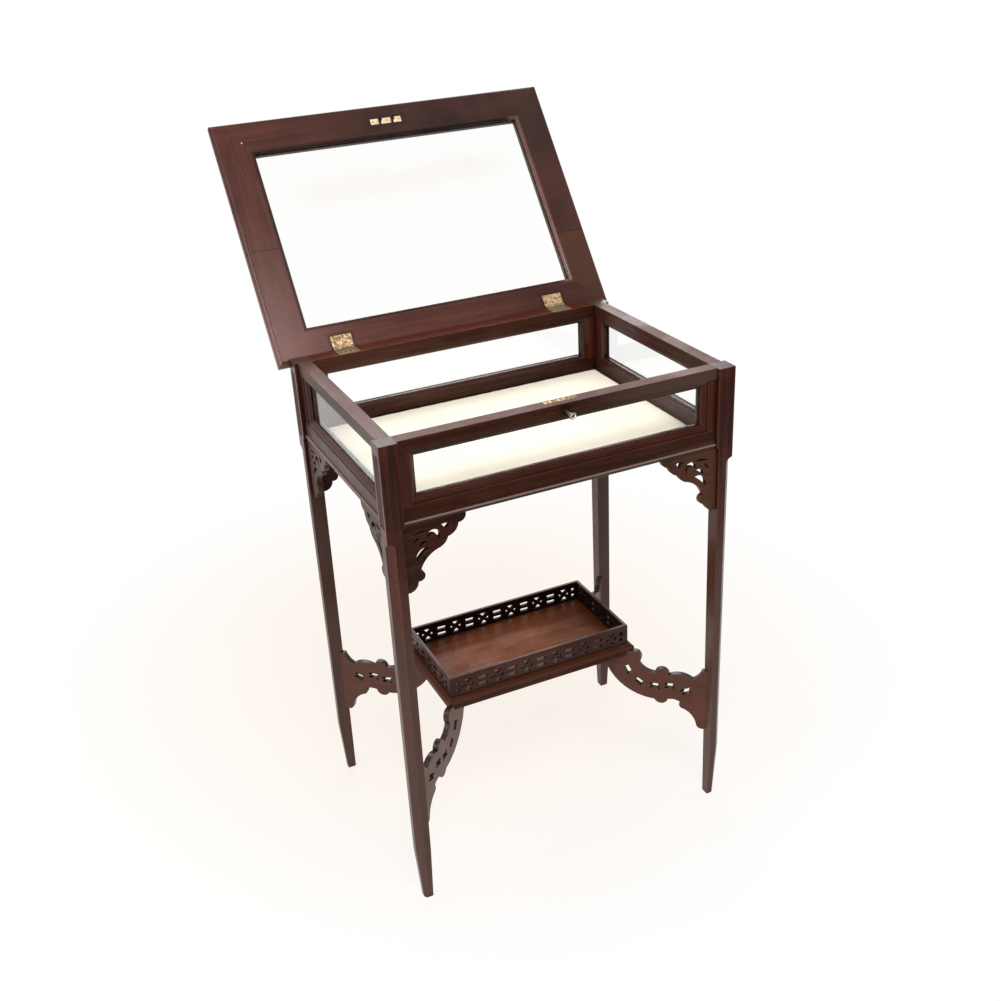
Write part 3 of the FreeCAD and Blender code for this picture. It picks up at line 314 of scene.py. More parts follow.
def grain_place(finish, along, stretch):
    """Place on the table with the grain's direction squeezed by stretch."""
    place = finish.place()
    directions = grain_frame(along)
    reaches = [finish.reach(place, tuple(d)) for d in directions]
    return finish.vector(reaches[0] / stretch, reaches[1], reaches[2])


GRAIN = (              # stretch along the grain, then scale, detail and roughness, then the ramp
    (12, (30, 3, 0.55), (0.28, 0.72)),    # wide bands
    (26, (260, 3, 0.6), (0.34, 0.70)),    # narrow streaks
    (10, (1300, 1, 0.5), (0.58, 0.70)),   # pores
)


def wood_pattern(finish, along):
    """Bands, streaks and pores of the wood, each from 0 to 1."""
    return [
        finish.noise(grain_place(finish, along, stretch), *cloud).ramp(*ramp)
        for stretch, cloud, ramp in GRAIN
    ]


def crevice_shade_and_dirt(finish):
    """1 deep in a corner or a narrow groove, and 0 in the open. It paints the shade that falls
    there, with the dust and old wax that stay.
    """
    narrow, wide = (
        finish.node("AmbientOcclusion", {"samples": 8}, {"Distance": reach}, "AO")
        for reach in (GROOVE_REACH, CORNER_REACH)
    )
    return narrow.ramp(0.94, 0.50).most(wide.ramp(0.90, 0.34) * 0.85)


def mahogany(name, along, deep=DEEP, middle=MIDDLE, light=LIGHT, coat=0.50, rough=0.38, crevice_shade_and_grime=0.9):
    """Polished mahogany with its grain along a direction. The other numbers are shares of 1."""
    finish = Finish(name, Coat_Roughness=0.20, Specular_IOR_Level=0.05)
    bands, streaks, pores = wood_pattern(finish, along)
    colour = finish.blend(bands, deep, middle)
    colour = finish.blend(streaks * 0.32, colour, light)
    colour = finish.blend(pores * 0.55, colour, PORE)
    patches = finish.noise(finish.place(), scale=9, detail=3, roughness=0.6).ramp(0.35, 0.68)
    colour = finish.blend(patches * 0.30, colour, deep)
    # painted shade with grime: corners and grooves darken, found by ambient occlusion
    shade_and_dirt = crevice_shade_and_dirt(finish)
    colour = finish.blend(shade_and_dirt * crevice_shade_and_grime, colour, SHADE_AND_GRIME)
    finish.colour, finish.patches = colour, patches
    finish.feed("Base Color", colour)
    finish.feed("Roughness", rough + patches * 0.12 - streaks * 0.06 + shade_and_dirt * 0.3)
    finish.feed("Coat Weight", (coat - patches * 0.15) * (1 - shade_and_dirt))
    finish.dents(streaks * 0.4 - pores, PORE_DEPTH)
    return finish


# %% [markdown]
# Each stick of the table now gets the finish whose grain runs along it. The rails and the gallery
# are browner than the legs, and the lid is redder, because it has had the most sun and polish. The
# shelf is the palest, since water took its polish off.

# %% Finishes of the wood
RIGHTWARD, BACKWARD, UPWARD = (1, 0, 0), (0, 1, 0), (0, 0, 1)
TO_BACK_RIGHT, TO_FRONT_RIGHT = (0.82, 0.572, 0), (0.82, -0.572, 0)   # the stretchers' runs
LID_ANGLE = math.radians(127.7)
PIN = Vector((0, 0.1915, 0.7502))
UP_THE_LID = (0, -math.cos(LID_ANGLE), math.sin(LID_ANGLE))   # from the hinge to the free edge
OFF_THE_LID = (0, -math.sin(LID_ANGLE), -math.cos(LID_ANGLE))   # away from its lower face

BROWN = (shade(34, 14, 9), shade(64, 32, 21), shade(96, 56, 38))
RED = (shade(60, 24, 16), shade(86, 39, 27), shade(110, 58, 41))
NEWER = (shade(36, 17, 13), shade(54, 29, 24), shade(74, 44, 37))
STRIPPED = (shade(88, 42, 20), shade(122, 68, 40), shade(150, 94, 60))
PALE = (shade(150, 112, 70), shade(178, 140, 94), shade(196, 160, 112))
RUBBED = (shade(62, 34, 25), shade(92, 55, 42), shade(124, 82, 66))
wood_right = mahogany("mahogany_rightward", RIGHTWARD, *BROWN, coat=0.22)
wood_back = mahogany("mahogany_backward", BACKWARD, *BROWN, coat=0.22)
wood_up = mahogany("mahogany_upward", UPWARD)
wood_around = mahogany("mahogany_around", RIGHTWARD, *BROWN)
wood_rising = mahogany("mahogany_rising", TO_BACK_RIGHT)
wood_falling = mahogany("mahogany_falling", TO_FRONT_RIGHT)
wood_lid_right = mahogany("mahogany_lid_rightward", RIGHTWARD, *RED, coat=0.7)
wood_lid_side = mahogany("mahogany_lid_side", UP_THE_LID, *RED, coat=0.7)
wood_lid_bead = mahogany("mahogany_lid_bead", RIGHTWARD, *RED, coat=0.6, crevice_shade_and_grime=0.6)
wood_patch = mahogany("mahogany_patch", RIGHTWARD, *NEWER, coat=0.5)
wood_shelf = mahogany("mahogany_shelf", RIGHTWARD, *STRIPPED, coat=0.10)
gallery_right = mahogany("gallery_mahogany_rightward", RIGHTWARD, *BROWN, coat=0.3)
gallery_back = mahogany("gallery_mahogany_backward", BACKWARD, *BROWN, coat=0.3)
pine = mahogany("pine", RIGHTWARD, *PALE, coat=0, rough=0.7)
rubbed = mahogany("mahogany_rubbed", UPWARD, *RUBBED)
print("each finish of wood is a graph of", len(rubbed.tree.nodes), "nodes")

# %% [markdown]
# ## What a century leaves on it, and painted light and shade
#
# A table that has stood in many rooms is not one colour. Sun and sponging have left the lid redder.
# Along its top the lid is nearly black, and at its lower left a pale painted glare stands for the
# lamp's reflection in its polish. The right side of the lid was mended with a browner length of
# wood.
# Oil and verdigris have stained the wood around the brass, and the shelf was stripped by wet pots.
# Painted shade darkens the inside of the gallery and the shelf near its walls, and painted sheen
# and highlights lie where the polish would catch the lamps.
# Each of these is a colour laid over the wood by a mask, and a mask is a sum on places: a ramp from
# one place to another, or a box with soft sides. Painting by hand would do it too, but a painted
# picture has to be stretched over each part, and a sum on places fits any part that it falls on.


# %% Masks
def tint(finish, share, colour):
    """Lay a colour over a finish, as strongly as share says."""
    finish.colour = finish.blend(share, finish.colour, colour)
    finish.feed("Base Color", finish.colour)


def around(offsets, halves, fade):
    """1 inside a box, given the offsets from its middle, and 0 beyond a fade around it."""
    beyond = [offset.size() - half for offset, half in zip(offsets, halves)]
    return beyond[0].most(beyond[1]).ramp(fade, 0.0)


def lid_reaches(finish):
    """Place across the lid from its middle, and up the lid from the pins of its hinges."""
    place = finish.place()
    return finish.parts(place)[0], finish.reach(place, UP_THE_LID) - PIN.dot(Vector(UP_THE_LID))


def on_underside(finish):
    """1 on the lid's lower face, and 0 deeper in the lid and on its top."""
    depth = PIN.dot(Vector(OFF_THE_LID)) - finish.reach(finish.place(), OFF_THE_LID)
    return depth.ramp(*SKIN)


def facing_up(finish):
    """1 where the surface faces up, 0 where it is upright and -1 where it faces down."""
    return finish.parts(finish.node("NewGeometry", output="Normal"))[2]


SKIN = (0.004, 0.003)                    # how deep a stain of the lower face reaches
print("the lid's pins lie", round(1000 * PIN.z, 1), "mm above the floor")

# %% Stains and painted glare on the lid
HINGES_X = (-0.1775, 0.182)
HINGE_HALF, STAIN_FADE = (0.0165, 0.021), 0.007
RIGHT_BEAD = (0.205, 0.215)              # across the lid, where the beads turn up its right side
DOT_PLACE = (-0.239, 0.352)              # a chip in the polish, across the lid and up it
DOT_HALF, DOT_FADE = (0.0006, 0.0006), 0.0008
TOP_DARK = shade(34, 15, 11)
# a pale pink for a painted glare, where the polish would mirror the lamp
PAINTED_GLARE = shade(158, 116, 110)
LID_DARKENING_AND_GLARE = (   # from none to full across the lid and up it, then the share and the colour
    ((-0.24, -0.02), (0.20, 0.33), 0.95, TOP_DARK),
    ((0.06, 0.20), (0.10, 0.0), 0.45, TOP_DARK),
    # the painted glare at the lid's lower left
    ((-0.14, -0.27), (0.26, 0.0), 0.42, PAINTED_GLARE),
)
for finish in (wood_lid_right, wood_lid_side, wood_lid_bead):
    across, up_lid = lid_reaches(finish)
    cloudy = 0.6 + finish.patches * 0.4
    for side, rise, share, colour in LID_DARKENING_AND_GLARE:
        tint(finish, across.ramp(*side) * up_lid.ramp(*rise) * share * cloudy, colour)

# painted light on the lid's beads: painted shade on those at the left, top and bottom of the pane,
# and a paler painted highlight on the right one, which faces the side lamp
on_right_bead = lid_reaches(wood_lid_bead)[0].ramp(*RIGHT_BEAD)
tint(wood_lid_bead, (1 - on_right_bead) * 0.60, SHADE_AND_GRIME)
tint(wood_lid_bead, on_right_bead * 0.45, shade(124, 92, 78))

across, up_lid = lid_reaches(wood_lid_right)
underside = on_underside(wood_lid_right)
for hinge_x in HINGES_X:
    stain = around([across - hinge_x, up_lid], HINGE_HALF, STAIN_FADE)
    tint(wood_lid_right, stain * underside * 0.7, SHADE_AND_GRIME)
worn_dot = around([across - DOT_PLACE[0], up_lid - DOT_PLACE[1]], DOT_HALF, DOT_FADE)
tint(wood_lid_right, worn_dot * underside, shade(230, 220, 210))
print("bloom, dark edge, hinge stains and one pale dot laid on the lid")

# %% The joints and the mended length of the lid's sides
LEFT_JOINT, RIGHT_JOINT = 0.174, 0.122   # up the lid, from the hinges' pins
JOINT_LINE = (0.0009, 0.0003)            # distances from the joint, from clean to dark
JOINT_DIRT = (0.012, 0.0)
MIDLINE = (-0.01, 0.01)
MENDED = shade(82, 46, 26)
across, up_lid = lid_reaches(wood_lid_side)
on_right = across.ramp(*MIDLINE)
above_joint = up_lid - LEFT_JOINT - on_right * (RIGHT_JOINT - LEFT_JOINT)
tint(wood_lid_side, on_right * 0.60, shade(52, 29, 19))
below_joint = above_joint.ramp(0.0004, -0.0004)
tint(wood_lid_side, on_right * below_joint * 0.45, MENDED)
tint(wood_lid_side, on_right * wood_lid_side.patches * 0.35, TOP_DARK)
tint(wood_lid_side, above_joint.size().ramp(*JOINT_LINE) * 0.85, SHADE_AND_GRIME)
tint(wood_lid_side, above_joint.size().ramp(*JOINT_DIRT) * wood_lid_side.patches * 0.5, SHADE_AND_GRIME)
print("joints drawn", round(1000 * (LEFT_JOINT - RIGHT_JOINT)), "mm apart in height")

# %% The shelf and the gallery
SHELF_FIELD = 0.2705                     # the top of the shelf's raised field
SHELF_MIDDLE_HALF, SHELF_MIDDLE_FADE = (0.128, 0.056), 0.020
GALLERY_INSIDE, GALLERY_FADE = (0.1492, 0.0772), 0.0004
across, back, height = wood_shelf.parts(wood_shelf.place())
# painted shade with grime: the shelf darkens towards the gallery's walls, outside its middle
shelf_middle = around([across, back], SHELF_MIDDLE_HALF, SHELF_MIDDLE_FADE)
tint(wood_shelf, (1 - shelf_middle) * 0.55, shade(54, 24, 12))
tint(wood_shelf, across.ramp(0.02, 0.14) * (0.35 + wood_shelf.patches * 0.35), shade(52, 22, 10))
tint(wood_shelf, across.ramp(-0.05, -0.14) * 0.30, shade(72, 40, 26))
tint(wood_shelf, height.ramp(SHELF_FIELD, SHELF_FIELD - 0.0003) * 0.85, BROWN[1])
for finish in (gallery_right, gallery_back):
    place = finish.parts(finish.place())
    # painted shade: the gallery's inner faces are near black
    tint(finish, around(place[:2], GALLERY_INSIDE, GALLERY_FADE) * 0.88, shade(16, 8, 6))
print("the shelf's middle kept pale, and the gallery's inside left black")

# %% Rails and brackets
PAINTED_SHEEN = shade(116, 100, 90)
KEYHOLE_HEIGHT, KEYHOLE_HALF, KEYHOLE_FADE = 0.7395, (0.003, 0.004), 0.009
BELOW_CASE = (0.645, 0.635)              # heights, from the rails down to the brackets
ON_FRONT_RAIL = (-0.15, -0.17), (0.72, 0.73)
for finish in (wood_right, wood_back):
    across, _, height = finish.parts(finish.place())
    right_bracket = across.ramp(0.10, 0.20) * height.ramp(*BELOW_CASE)
    tint(finish, right_bracket * 0.35, shade(112, 76, 56))
# painted sheen: the outer faces of the left side are paler, where their polish would mirror the
# lamps
across = wood_back.parts(wood_back.place())[0]
tint(wood_back, across.ramp(-0.24, -0.262) * (0.15 + wood_back.patches * 0.15), PAINTED_SHEEN)
across, back, height = wood_right.parts(wood_right.place())
front_rail = back.ramp(*ON_FRONT_RAIL[0]) * height.ramp(*ON_FRONT_RAIL[1])
# painted sheen on the right of the front rail
tint(wood_right, across.ramp(0.0, 0.14) * front_rail * 0.25, PAINTED_SHEEN)
# the wood is darker in a ring round the keyhole
keyhole = around([across, height - KEYHOLE_HEIGHT], KEYHOLE_HALF, KEYHOLE_FADE)
tint(wood_right, keyhole * front_rail * 0.7, SHADE_AND_GRIME)
# painted light by which way a face points: painted shade on the tops of the front and back rails,
# and painted sheen on the tops of the side rails
tint(wood_right, facing_up(wood_right).ramp(0.6, 0.95) * 0.6, shade(84, 30, 18))
tint(wood_back, facing_up(wood_back).ramp(0.6, 0.95) * 0.35, shade(120, 82, 72))
print("dust on the left rail and the front rail's right, and a dark ring round the keyhole")

# %% Stretchers, legs and base beads
LOW_ON_LEG = (0.60, 0.35)                # heights, from clean wood to greyed wood
LEG_TOP = (0.735, 0.745)
BASE_BEAD = (0.66, 0.65)
# tops greyed and upright faces lighter, set by which way each face points
for finish in (wood_rising, wood_falling):
    tint(finish, facing_up(finish).ramp(0.15, 0.5) * 0.7, shade(44, 38, 34))
    tint(finish, facing_up(finish).size().ramp(0.15, 0.05) * 0.25, shade(112, 70, 50))
flames = wood_up.noise(grain_place(wood_up, UPWARD, stretch=30), scale=110).ramp(0.50, 0.62)
tint(wood_up, flames * 0.60, shade(36, 12, 8))
for finish in (wood_up, rubbed):
    low_on_leg = finish.parts(finish.place())[2].ramp(*LOW_ON_LEG)
    tint(finish, low_on_leg * (0.35 + finish.patches * 0.3), shade(84, 63, 51))
leg_top = wood_up.parts(wood_up.place())[2].ramp(*LEG_TOP)
tint(wood_up, facing_up(wood_up).ramp(0.9, 0.98) * leg_top * 0.65, shade(64, 54, 46))
# painted highlight along the upward faces of the base beads
base_bead = wood_around.parts(wood_around.place())[2].ramp(*BASE_BEAD)
tint(wood_around, facing_up(wood_around).ramp(0.1, 0.6) * base_bead * 0.55, shade(150, 128, 120))
print("rub on the stretchers, flames and grey feet on the legs, a pale line on the base beads")

# %% [markdown]
# ## Easing the edges
#
# No old edge is a knife edge: it was eased with sandpaper when it was made, and polish and dusters
# have rubbed it since. A rounded arris catches a thin line of light, and without that line wood
# looks like plastic. The CAD solids have the right shapes with sharp edges. So each wooden part
# is a copy of its solid, with the loose triangles merged and the flat ones dissolved into whole
# faces, and a Bevel modifier rounds every real corner. The modifier can give the narrow new
# faces a material of their own, and they get the paler, rubbed wood.


# %% Picking and placing
def alone(piece):
    """Select one object and nothing else."""
    bpy.ops.object.select_all(action="DESELECT")
    piece.select_set(True)
    bpy.context.view_layer.objects.active = piece


def apply_modifier(piece, kind, **settings):
    """Add a modifier, set it up and apply it."""
    alone(piece)
    bpy.ops.object.modifier_add(type=kind)
    modifier = piece.modifiers[-1]
    for key, value in settings.items():
        setattr(modifier, key, value)
    bpy.ops.object.modifier_apply(modifier=modifier.name)


def place_piece(piece, slot, *replaced):
    """Let a new piece ride with the parts that it stands for."""
    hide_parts(*replaced)
    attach(piece, nodes[replaced[0]]["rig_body"])


# %% One clean skin
def surface_tree(part):
    """The surface of a part, to be asked for the place nearest to a point."""
    corners = [vertex.co for vertex in part.data.vertices]
    return BVHTree.FromPolygons(corners, [polygon.vertices for polygon in part.data.polygons])


def back_to_back(node):
    """For each face of a part, True where another of its faces lies against it."""
    tree = surface_trees[node]
    return [
        any(
            normal.dot(face.normal) < -0.99
            for _, normal, _, _ in tree.find_nearest_range(face.center, JOINT_REACH)
        )
        for face in nodes[node].data.polygons
    ]


def clean_copy(node):
    """A copy of a CAD node's mesh as one skin, with its flat triangles dissolved."""
    piece = bpy.data.objects.new(node + "_wood", nodes[node].data.copy())
    bpy.context.scene.collection.objects.link(piece)
    alone(piece)
    bpy.ops.mesh.customdata_custom_splitnormals_clear()
    bpy.ops.object.mode_set(mode="EDIT")
    bpy.ops.mesh.select_mode(type="FACE")
    bpy.ops.mesh.select_all(action="DESELECT")
    bpy.ops.object.mode_set(mode="OBJECT")
    piece.data.polygons.foreach_set("select", back_to_back(node))
    bpy.ops.object.mode_set(mode="EDIT")
    bpy.ops.mesh.delete(type="FACE")
    bpy.ops.mesh.select_all(action="SELECT")
    bpy.ops.mesh.remove_doubles(threshold=MERGE_REACH)
    bpy.ops.mesh.dissolve_limited(angle_limit=FLAT_ANGLE)
    bpy.ops.object.mode_set(mode="OBJECT")
    return piece


MERGE_REACH = 0.00001
JOINT_REACH = 0.00005
FLAT_ANGLE = math.radians(0.6)
surface_trees = {name: surface_tree(part) for name, part in nodes.items()}
print("surfaces kept of", len(surface_trees), "parts")


# %% Which corners are rounded
def meets_neighbour(node, place):
    """True where another part of the same body touches a place."""
    body = nodes[node]["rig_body"]
    return any(
        tree.find_nearest(place, JOINT_REACH)[0] is not None
        for name, tree in surface_trees.items() if name != node and nodes[name]["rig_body"] == body
    )


def mark_arrises(piece, node, width):
    """Give a bevel weight to each open outer corner whose faces are wide enough to be rounded."""
    mesh = bmesh.new()
    mesh.from_mesh(piece.data)
    weight = mesh.edges.layers.float.new("bevel_weight_edge")   # the name that Bevel reads
    for edge in mesh.edges:
        sharp = edge.is_manifold and edge.is_convex and edge.calc_face_angle() > EDGE_ANGLE
        room = min((face.calc_area() for face in edge.link_faces), default=0) / edge.calc_length()
        middle = (edge.verts[0].co + edge.verts[1].co) / 2
        open_corner = sharp and room > ROOM_FOR_ARRIS * width
        edge[weight] = float(open_corner and not meets_neighbour(node, middle))
    mesh.to_mesh(piece.data)
    mesh.free()


EDGE_ANGLE = math.radians(32)
ROOM_FOR_ARRIS = 1.6                     # a face's width, in widths of the arris beside it
print("corners sharper than", round(math.degrees(EDGE_ANGLE)), "degrees are rounded")


# %% An eased part
def eased(node, width, finish, slot="mahogany", arris=None):
    """A wooden part with its edges rounded to a width, in metres."""
    piece = clean_copy(node)
    piece.data.materials.clear()
    piece.data.materials.append(finish.material)
    piece.data.materials.append((arris or rubbed).material)
    mark_arrises(piece, node, width)
    apply_modifier(
        piece, "BEVEL", width=width, segments=2, limit_method="WEIGHT",
        material=1, use_clamp_overlap=False, loop_slide=False,
    )
    alone(piece)
    bpy.ops.object.shade_smooth_by_angle(angle=EDGE_ANGLE)
    apply_modifier(piece, "WEIGHTED_NORMAL", keep_sharp=True, weight=100)
    place_piece(piece, slot, node)
    return piece


edge_count = sum(len(part.data.edges) for part in nodes.values())
print("the solids have", edge_count, "edges to look at")

# %% [markdown]
# ## The carcass
#
# The legs were planed from square stock: a square block with reeds worked on it beside the case,
# and a chamfered taper below. The rails and the short stiles between them frame the panes. The
# grain runs along the length of each stick, because wood across the grain would snap, so uprights
# get the upward finish, and rails the one that runs to the right or to the back. Nodes of one kind
# share a loop: every part is eased by the same recipe with its own width of arris.

# %% Legs, rails and stiles
STOUT, PLAIN, SLIM, FINE, HAIR = 0.0007, 0.0006, 0.0005, 0.0004, 0.0002   # widths of arris
ACROSS_FINISH = {"front": wood_right, "back": wood_right, "left": wood_back, "right": wood_back}
for corner in ("front_left", "front_right", "back_left", "back_right"):
    eased("leg_" + corner, STOUT, wood_up)
for side, finish in ACROSS_FINISH.items():
    eased(side + "_top_rail", PLAIN, finish)
    eased(side + "_bottom_rail", PLAIN, finish)
    eased(side + "_stiles", SLIM, wood_up)
eased("base_bead_mouldings", FINE, wood_around)
eased("case_glazing_beads", FINE, wood_around)
print("carcass dressed")

# %% [markdown]
# ## Fretwork below the case
#
# The brackets were sawn from thin board with a fret saw, and each stretcher was sawn from a thicker
# board and pierced with slots and crosses. The holes are in the solids already. What is added here
# is the soft arris of a sawn edge that was cleaned up with a file, and the direction of the grain,
# which follows each stretcher's run from its leg to the shelf.

# %% Brackets and stretchers
for first, second in (("front", "left"), ("front", "right"), ("back", "left"), ("back", "right")):
    eased(f"{first}_bracket_{second}", PLAIN, wood_right)
    eased(f"{second}_bracket_{first}", PLAIN, wood_back)
for corner, finish in (
    ("front_left", wood_rising), ("back_right", wood_rising),
    ("front_right", wood_falling), ("back_left", wood_falling),
):
    eased("stretcher_" + corner, STOUT, finish)
print("eight brackets and four stretchers dressed")

# %% [markdown]
# ## The shelf and its gallery
#
# The shelf is one board with a moulded edge. Its gallery is four thin rails, fretted and mitred at
# the corners. Thin fretwork can't be rounded much before it breaks, so its arris is narrow, and it
# keeps the colour of the rails instead of the paler wood of a rubbed edge.

# %% Shelf and gallery
eased("shelf_board", SLIM, wood_shelf, "shelf_mahogany")
for side in ("front", "back"):
    eased("gallery_" + side, FINE, gallery_right, "dark_mahogany", gallery_right)
for side in ("left", "right"):
    eased("gallery_" + side, FINE, gallery_back, "dark_mahogany", gallery_back)
print("shelf and gallery dressed")

# %% [markdown]
# ## The lid
#
# The lid is a flat frame, mitred at its corners, with a pane held by beads from below. Its rails
# are handled most, so their coat of polish is the thickest. The patch around the link plate is a
# piece of newer wood let in where an older plate was cut out, so it has its own colour.

# %% The lid
eased("lid_front_rail", SLIM, wood_lid_right)
eased("lid_back_rail", SLIM, wood_lid_right)
eased("lid_left_rail", SLIM, wood_lid_side)
eased("lid_right_rail", SLIM, wood_lid_side)
eased("lid_glazing_beads", FINE, wood_lid_bead)
eased("lid_patch", HAIR, wood_patch, "dark_mahogany", wood_patch)
print("lid dressed")

# %% [markdown]
# ## The lining
#
# The floor of the case is a thin board with cream cloth drawn over it and glued underneath. The
# cloth lies flat in the middle, turns down over the edge in a small round, and puckers a little
# along the edge where it was pulled tight. Glued cloth can't swing or sag, so its heights are a sum
# of three terms: the round at the edge, the puckers that fade inward, and a very slow swell of the
# padding. A grid fine enough for the puckers is added, extruded to give it a thickness, and each of
# its points is set to that height. A simulation would give no more, as nothing here can move.

# %% A grid for the lining
LINING_NODE = "display_lining"
lining_low, lining_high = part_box(LINING_NODE)
lining_middle = (lining_low + lining_high) / 2
lining_half = (lining_high - lining_low) / 2
bpy.ops.object.select_all(action="DESELECT")
bpy.ops.mesh.primitive_grid_add(x_subdivisions=120, y_subdivisions=82, size=2, location=(0, 0, 0))
lining = bpy.context.object
lining.name = "lining_cloth"
bpy.ops.object.mode_set(mode="EDIT")
bpy.ops.mesh.select_all(action="SELECT")
bpy.ops.mesh.extrude_region_move(TRANSFORM_OT_translate={"value": (0, 0, -1)})
bpy.ops.object.mode_set(mode="OBJECT")
print("the lining is", [round(2000 * half, 1) for half in lining_half], "mm")

# %% The heights of the lining
EDGE_ROUND = 0.0008
PUCKER_HEIGHT, PUCKER_REACH = 0.00018, 0.012
SWELL_HEIGHT = 0.0002
HEADROOM = 0.0004                        # kept free above the crown for puckers and swell
CLOTH_THICKNESS = 0.0004


def lining_height(x, y):
    """Height of the cloth over its board, at a place from the middle."""
    edge = min(lining_half.x - abs(x), lining_half.y - abs(y))
    along = x if lining_half.y - abs(y) < lining_half.x - abs(x) else y
    crown = 2 * lining_half.z * (1 - math.exp(-edge / EDGE_ROUND))
    wave = math.sin(along / 0.0045 + 3 * math.sin(along / 0.05))
    pucker = PUCKER_HEIGHT * math.exp(-edge / PUCKER_REACH) * wave
    swell = SWELL_HEIGHT * math.sin(x / 0.045 + 1) * math.cos(y / 0.038)
    return min(crown + pucker + swell - HEADROOM, 2 * lining_half.z)


for vertex in lining.data.vertices:
    x, y = vertex.co.x * lining_half.x, vertex.co.y * lining_half.y
    top = vertex.co.z > -0.5
    z = lining_low.z + (max(lining_height(x, y), CLOTH_THICKNESS) if top else 0)
    vertex.co = (lining_middle.x + x, lining_middle.y + y, z)
alone(lining)
bpy.ops.object.mode_set(mode="EDIT")
bpy.ops.mesh.select_all(action="SELECT")
bpy.ops.mesh.normals_make_consistent(inside=False)
bpy.ops.object.mode_set(mode="OBJECT")
bpy.ops.object.shade_smooth_by_angle(angle=math.radians(50))
print("the lining has", len(lining.data.polygons), "faces")

# %% The cream cloth
WEAVE_DEPTH = 0.0002
cloth = Finish(
    "cream_cloth", Roughness=0.95, Specular_IOR_Level=0.1, Sheen_Weight=0.08, Sheen_Roughness=0.6,
)
where = cloth.place()
dust = cloth.noise(where, scale=14, detail=4, roughness=0.6).ramp(0.45, 0.75)
specks = cloth.noise(where, scale=160, detail=2, roughness=0.6).ramp(0.68, 0.76)
weave = cloth.noise(where, scale=1500, detail=1)
base = cloth.blend(dust * 0.35, shade(250, 243, 224), shade(240, 230, 204))
base = cloth.blend(specks * 0.35, base, shade(196, 180, 150))
cloth.feed("Base Color", base)
cloth.dents(weave, WEAVE_DEPTH, strength=0.5)
lining.data.materials.clear()
lining.data.materials.append(cloth.material)
place_piece(lining, "cream_cloth", LINING_NODE)
print("the lining is dressed in", cloth.material.name)

# %% [markdown]
# ## Glass
#
# The panes are plain sheets of thin glass, seen nearly clear with a soft reflection. They bend
# light a little less than real glass does (1.3 against 1.5), which keeps that reflection faint.
# Light has to pass through them onto the lining, and a solid sheet of glass would throw a dark
# shadow, so for shadow and spread light the sheet is a transparent shader that takes away two
# hundredths. The lid's pane also has a long pale band, a painted reflection: a thin film of pale
# matt shader, mixed in by a band that a noise bends.


# %% The panes
def dress(node, finish):
    """Give a CAD node a finish."""
    for material_slot in nodes[node].material_slots:
        material_slot.material = finish.material


def clear_glass(name):
    """A finish of clear glass that lets light through, and its shader."""
    finish = Finish(name, Roughness=0.0, IOR=1.3, Transmission_Weight=1.0)
    finish.shader.inputs["Base Color"].default_value = (0.995, 0.995, 0.985, 1)
    shadow = finish.node("LightPath", output="Is Shadow Ray")
    spread = finish.node("LightPath", output="Is Diffuse Ray")
    open_air = finish.node("BsdfTransparent", None, {"Color": (0.98, 0.98, 0.97, 1)})
    body = Value(finish, finish.shader.outputs["BSDF"])
    seen = finish.node("MixShader", None, {0: shadow.most(spread), 1: body, 2: open_air})
    finish.tree.links.new(seen.socket, finish.output.inputs["Surface"])
    return finish, seen


case_glass, _ = clear_glass("pane_glass")
for side in ("front", "back", "left", "right"):
    dress(side + "_pane", case_glass)
print("four case panes dressed")

# %% The lid's pane and its painted reflection
REFLECTION_MIDDLE, REFLECTION_REACH, REFLECTION_SHARE = 0.245, 0.04, 0.13
lid_glass, seen = clear_glass("lid_glass")
across, up_lid = lid_reaches(lid_glass)
bend = lid_glass.noise(lid_glass.place(), scale=8) * 0.03
band = (up_lid - REFLECTION_MIDDLE - bend).size().ramp(REFLECTION_REACH, 0.0)
painted_reflection = band * across.size().ramp(0.22, 0.12)
# the painted reflection is a film of pale matt shader, mixed in along the band
film = lid_glass.node("BsdfDiffuse", None, {"Color": (*shade(226, 214, 196), 1)})
seen = lid_glass.node("MixShader", None, {0: painted_reflection * REFLECTION_SHARE, 1: seen, 2: film})
lid_glass.tree.links.new(seen.socket, lid_glass.output.inputs["Surface"])
dress("lid_pane", lid_glass)
print("the lid's pane dressed, with a smear", round(2000 * REFLECTION_REACH), "mm wide")

# %% [markdown]
# ## Brass and steel
#
# Cast and rolled brass starts bright, and goes brown from the air wherever no finger rubs it. Each
# metal is a blend of a bright and a dull colour in fine patches, the dull ones rougher. The hinge
# leaves let into the case are greyer than those of the lid. The link plate's brass has painted
# shade around its two loops, and the lock's brass is darkened at one end, where polish has dried
# and greened. The key is steel.


# %% The metals
def metal(name, bright, dull, rough, dent):
    """A worn metal: bright where it is rubbed and dull in patches."""
    finish = Finish(name, Metallic=1.0)
    where = finish.place()
    tarnish = finish.noise(where, scale=240, detail=4, roughness=0.65).ramp(0.36, 0.66)
    finish.colour = finish.blend(tarnish, bright, dull)
    finish.feed("Base Color", finish.colour)
    finish.feed("Roughness", rough + tarnish * 0.25)
    finish.dents(finish.noise(where, scale=420, roughness=0.6), dent)
    return finish


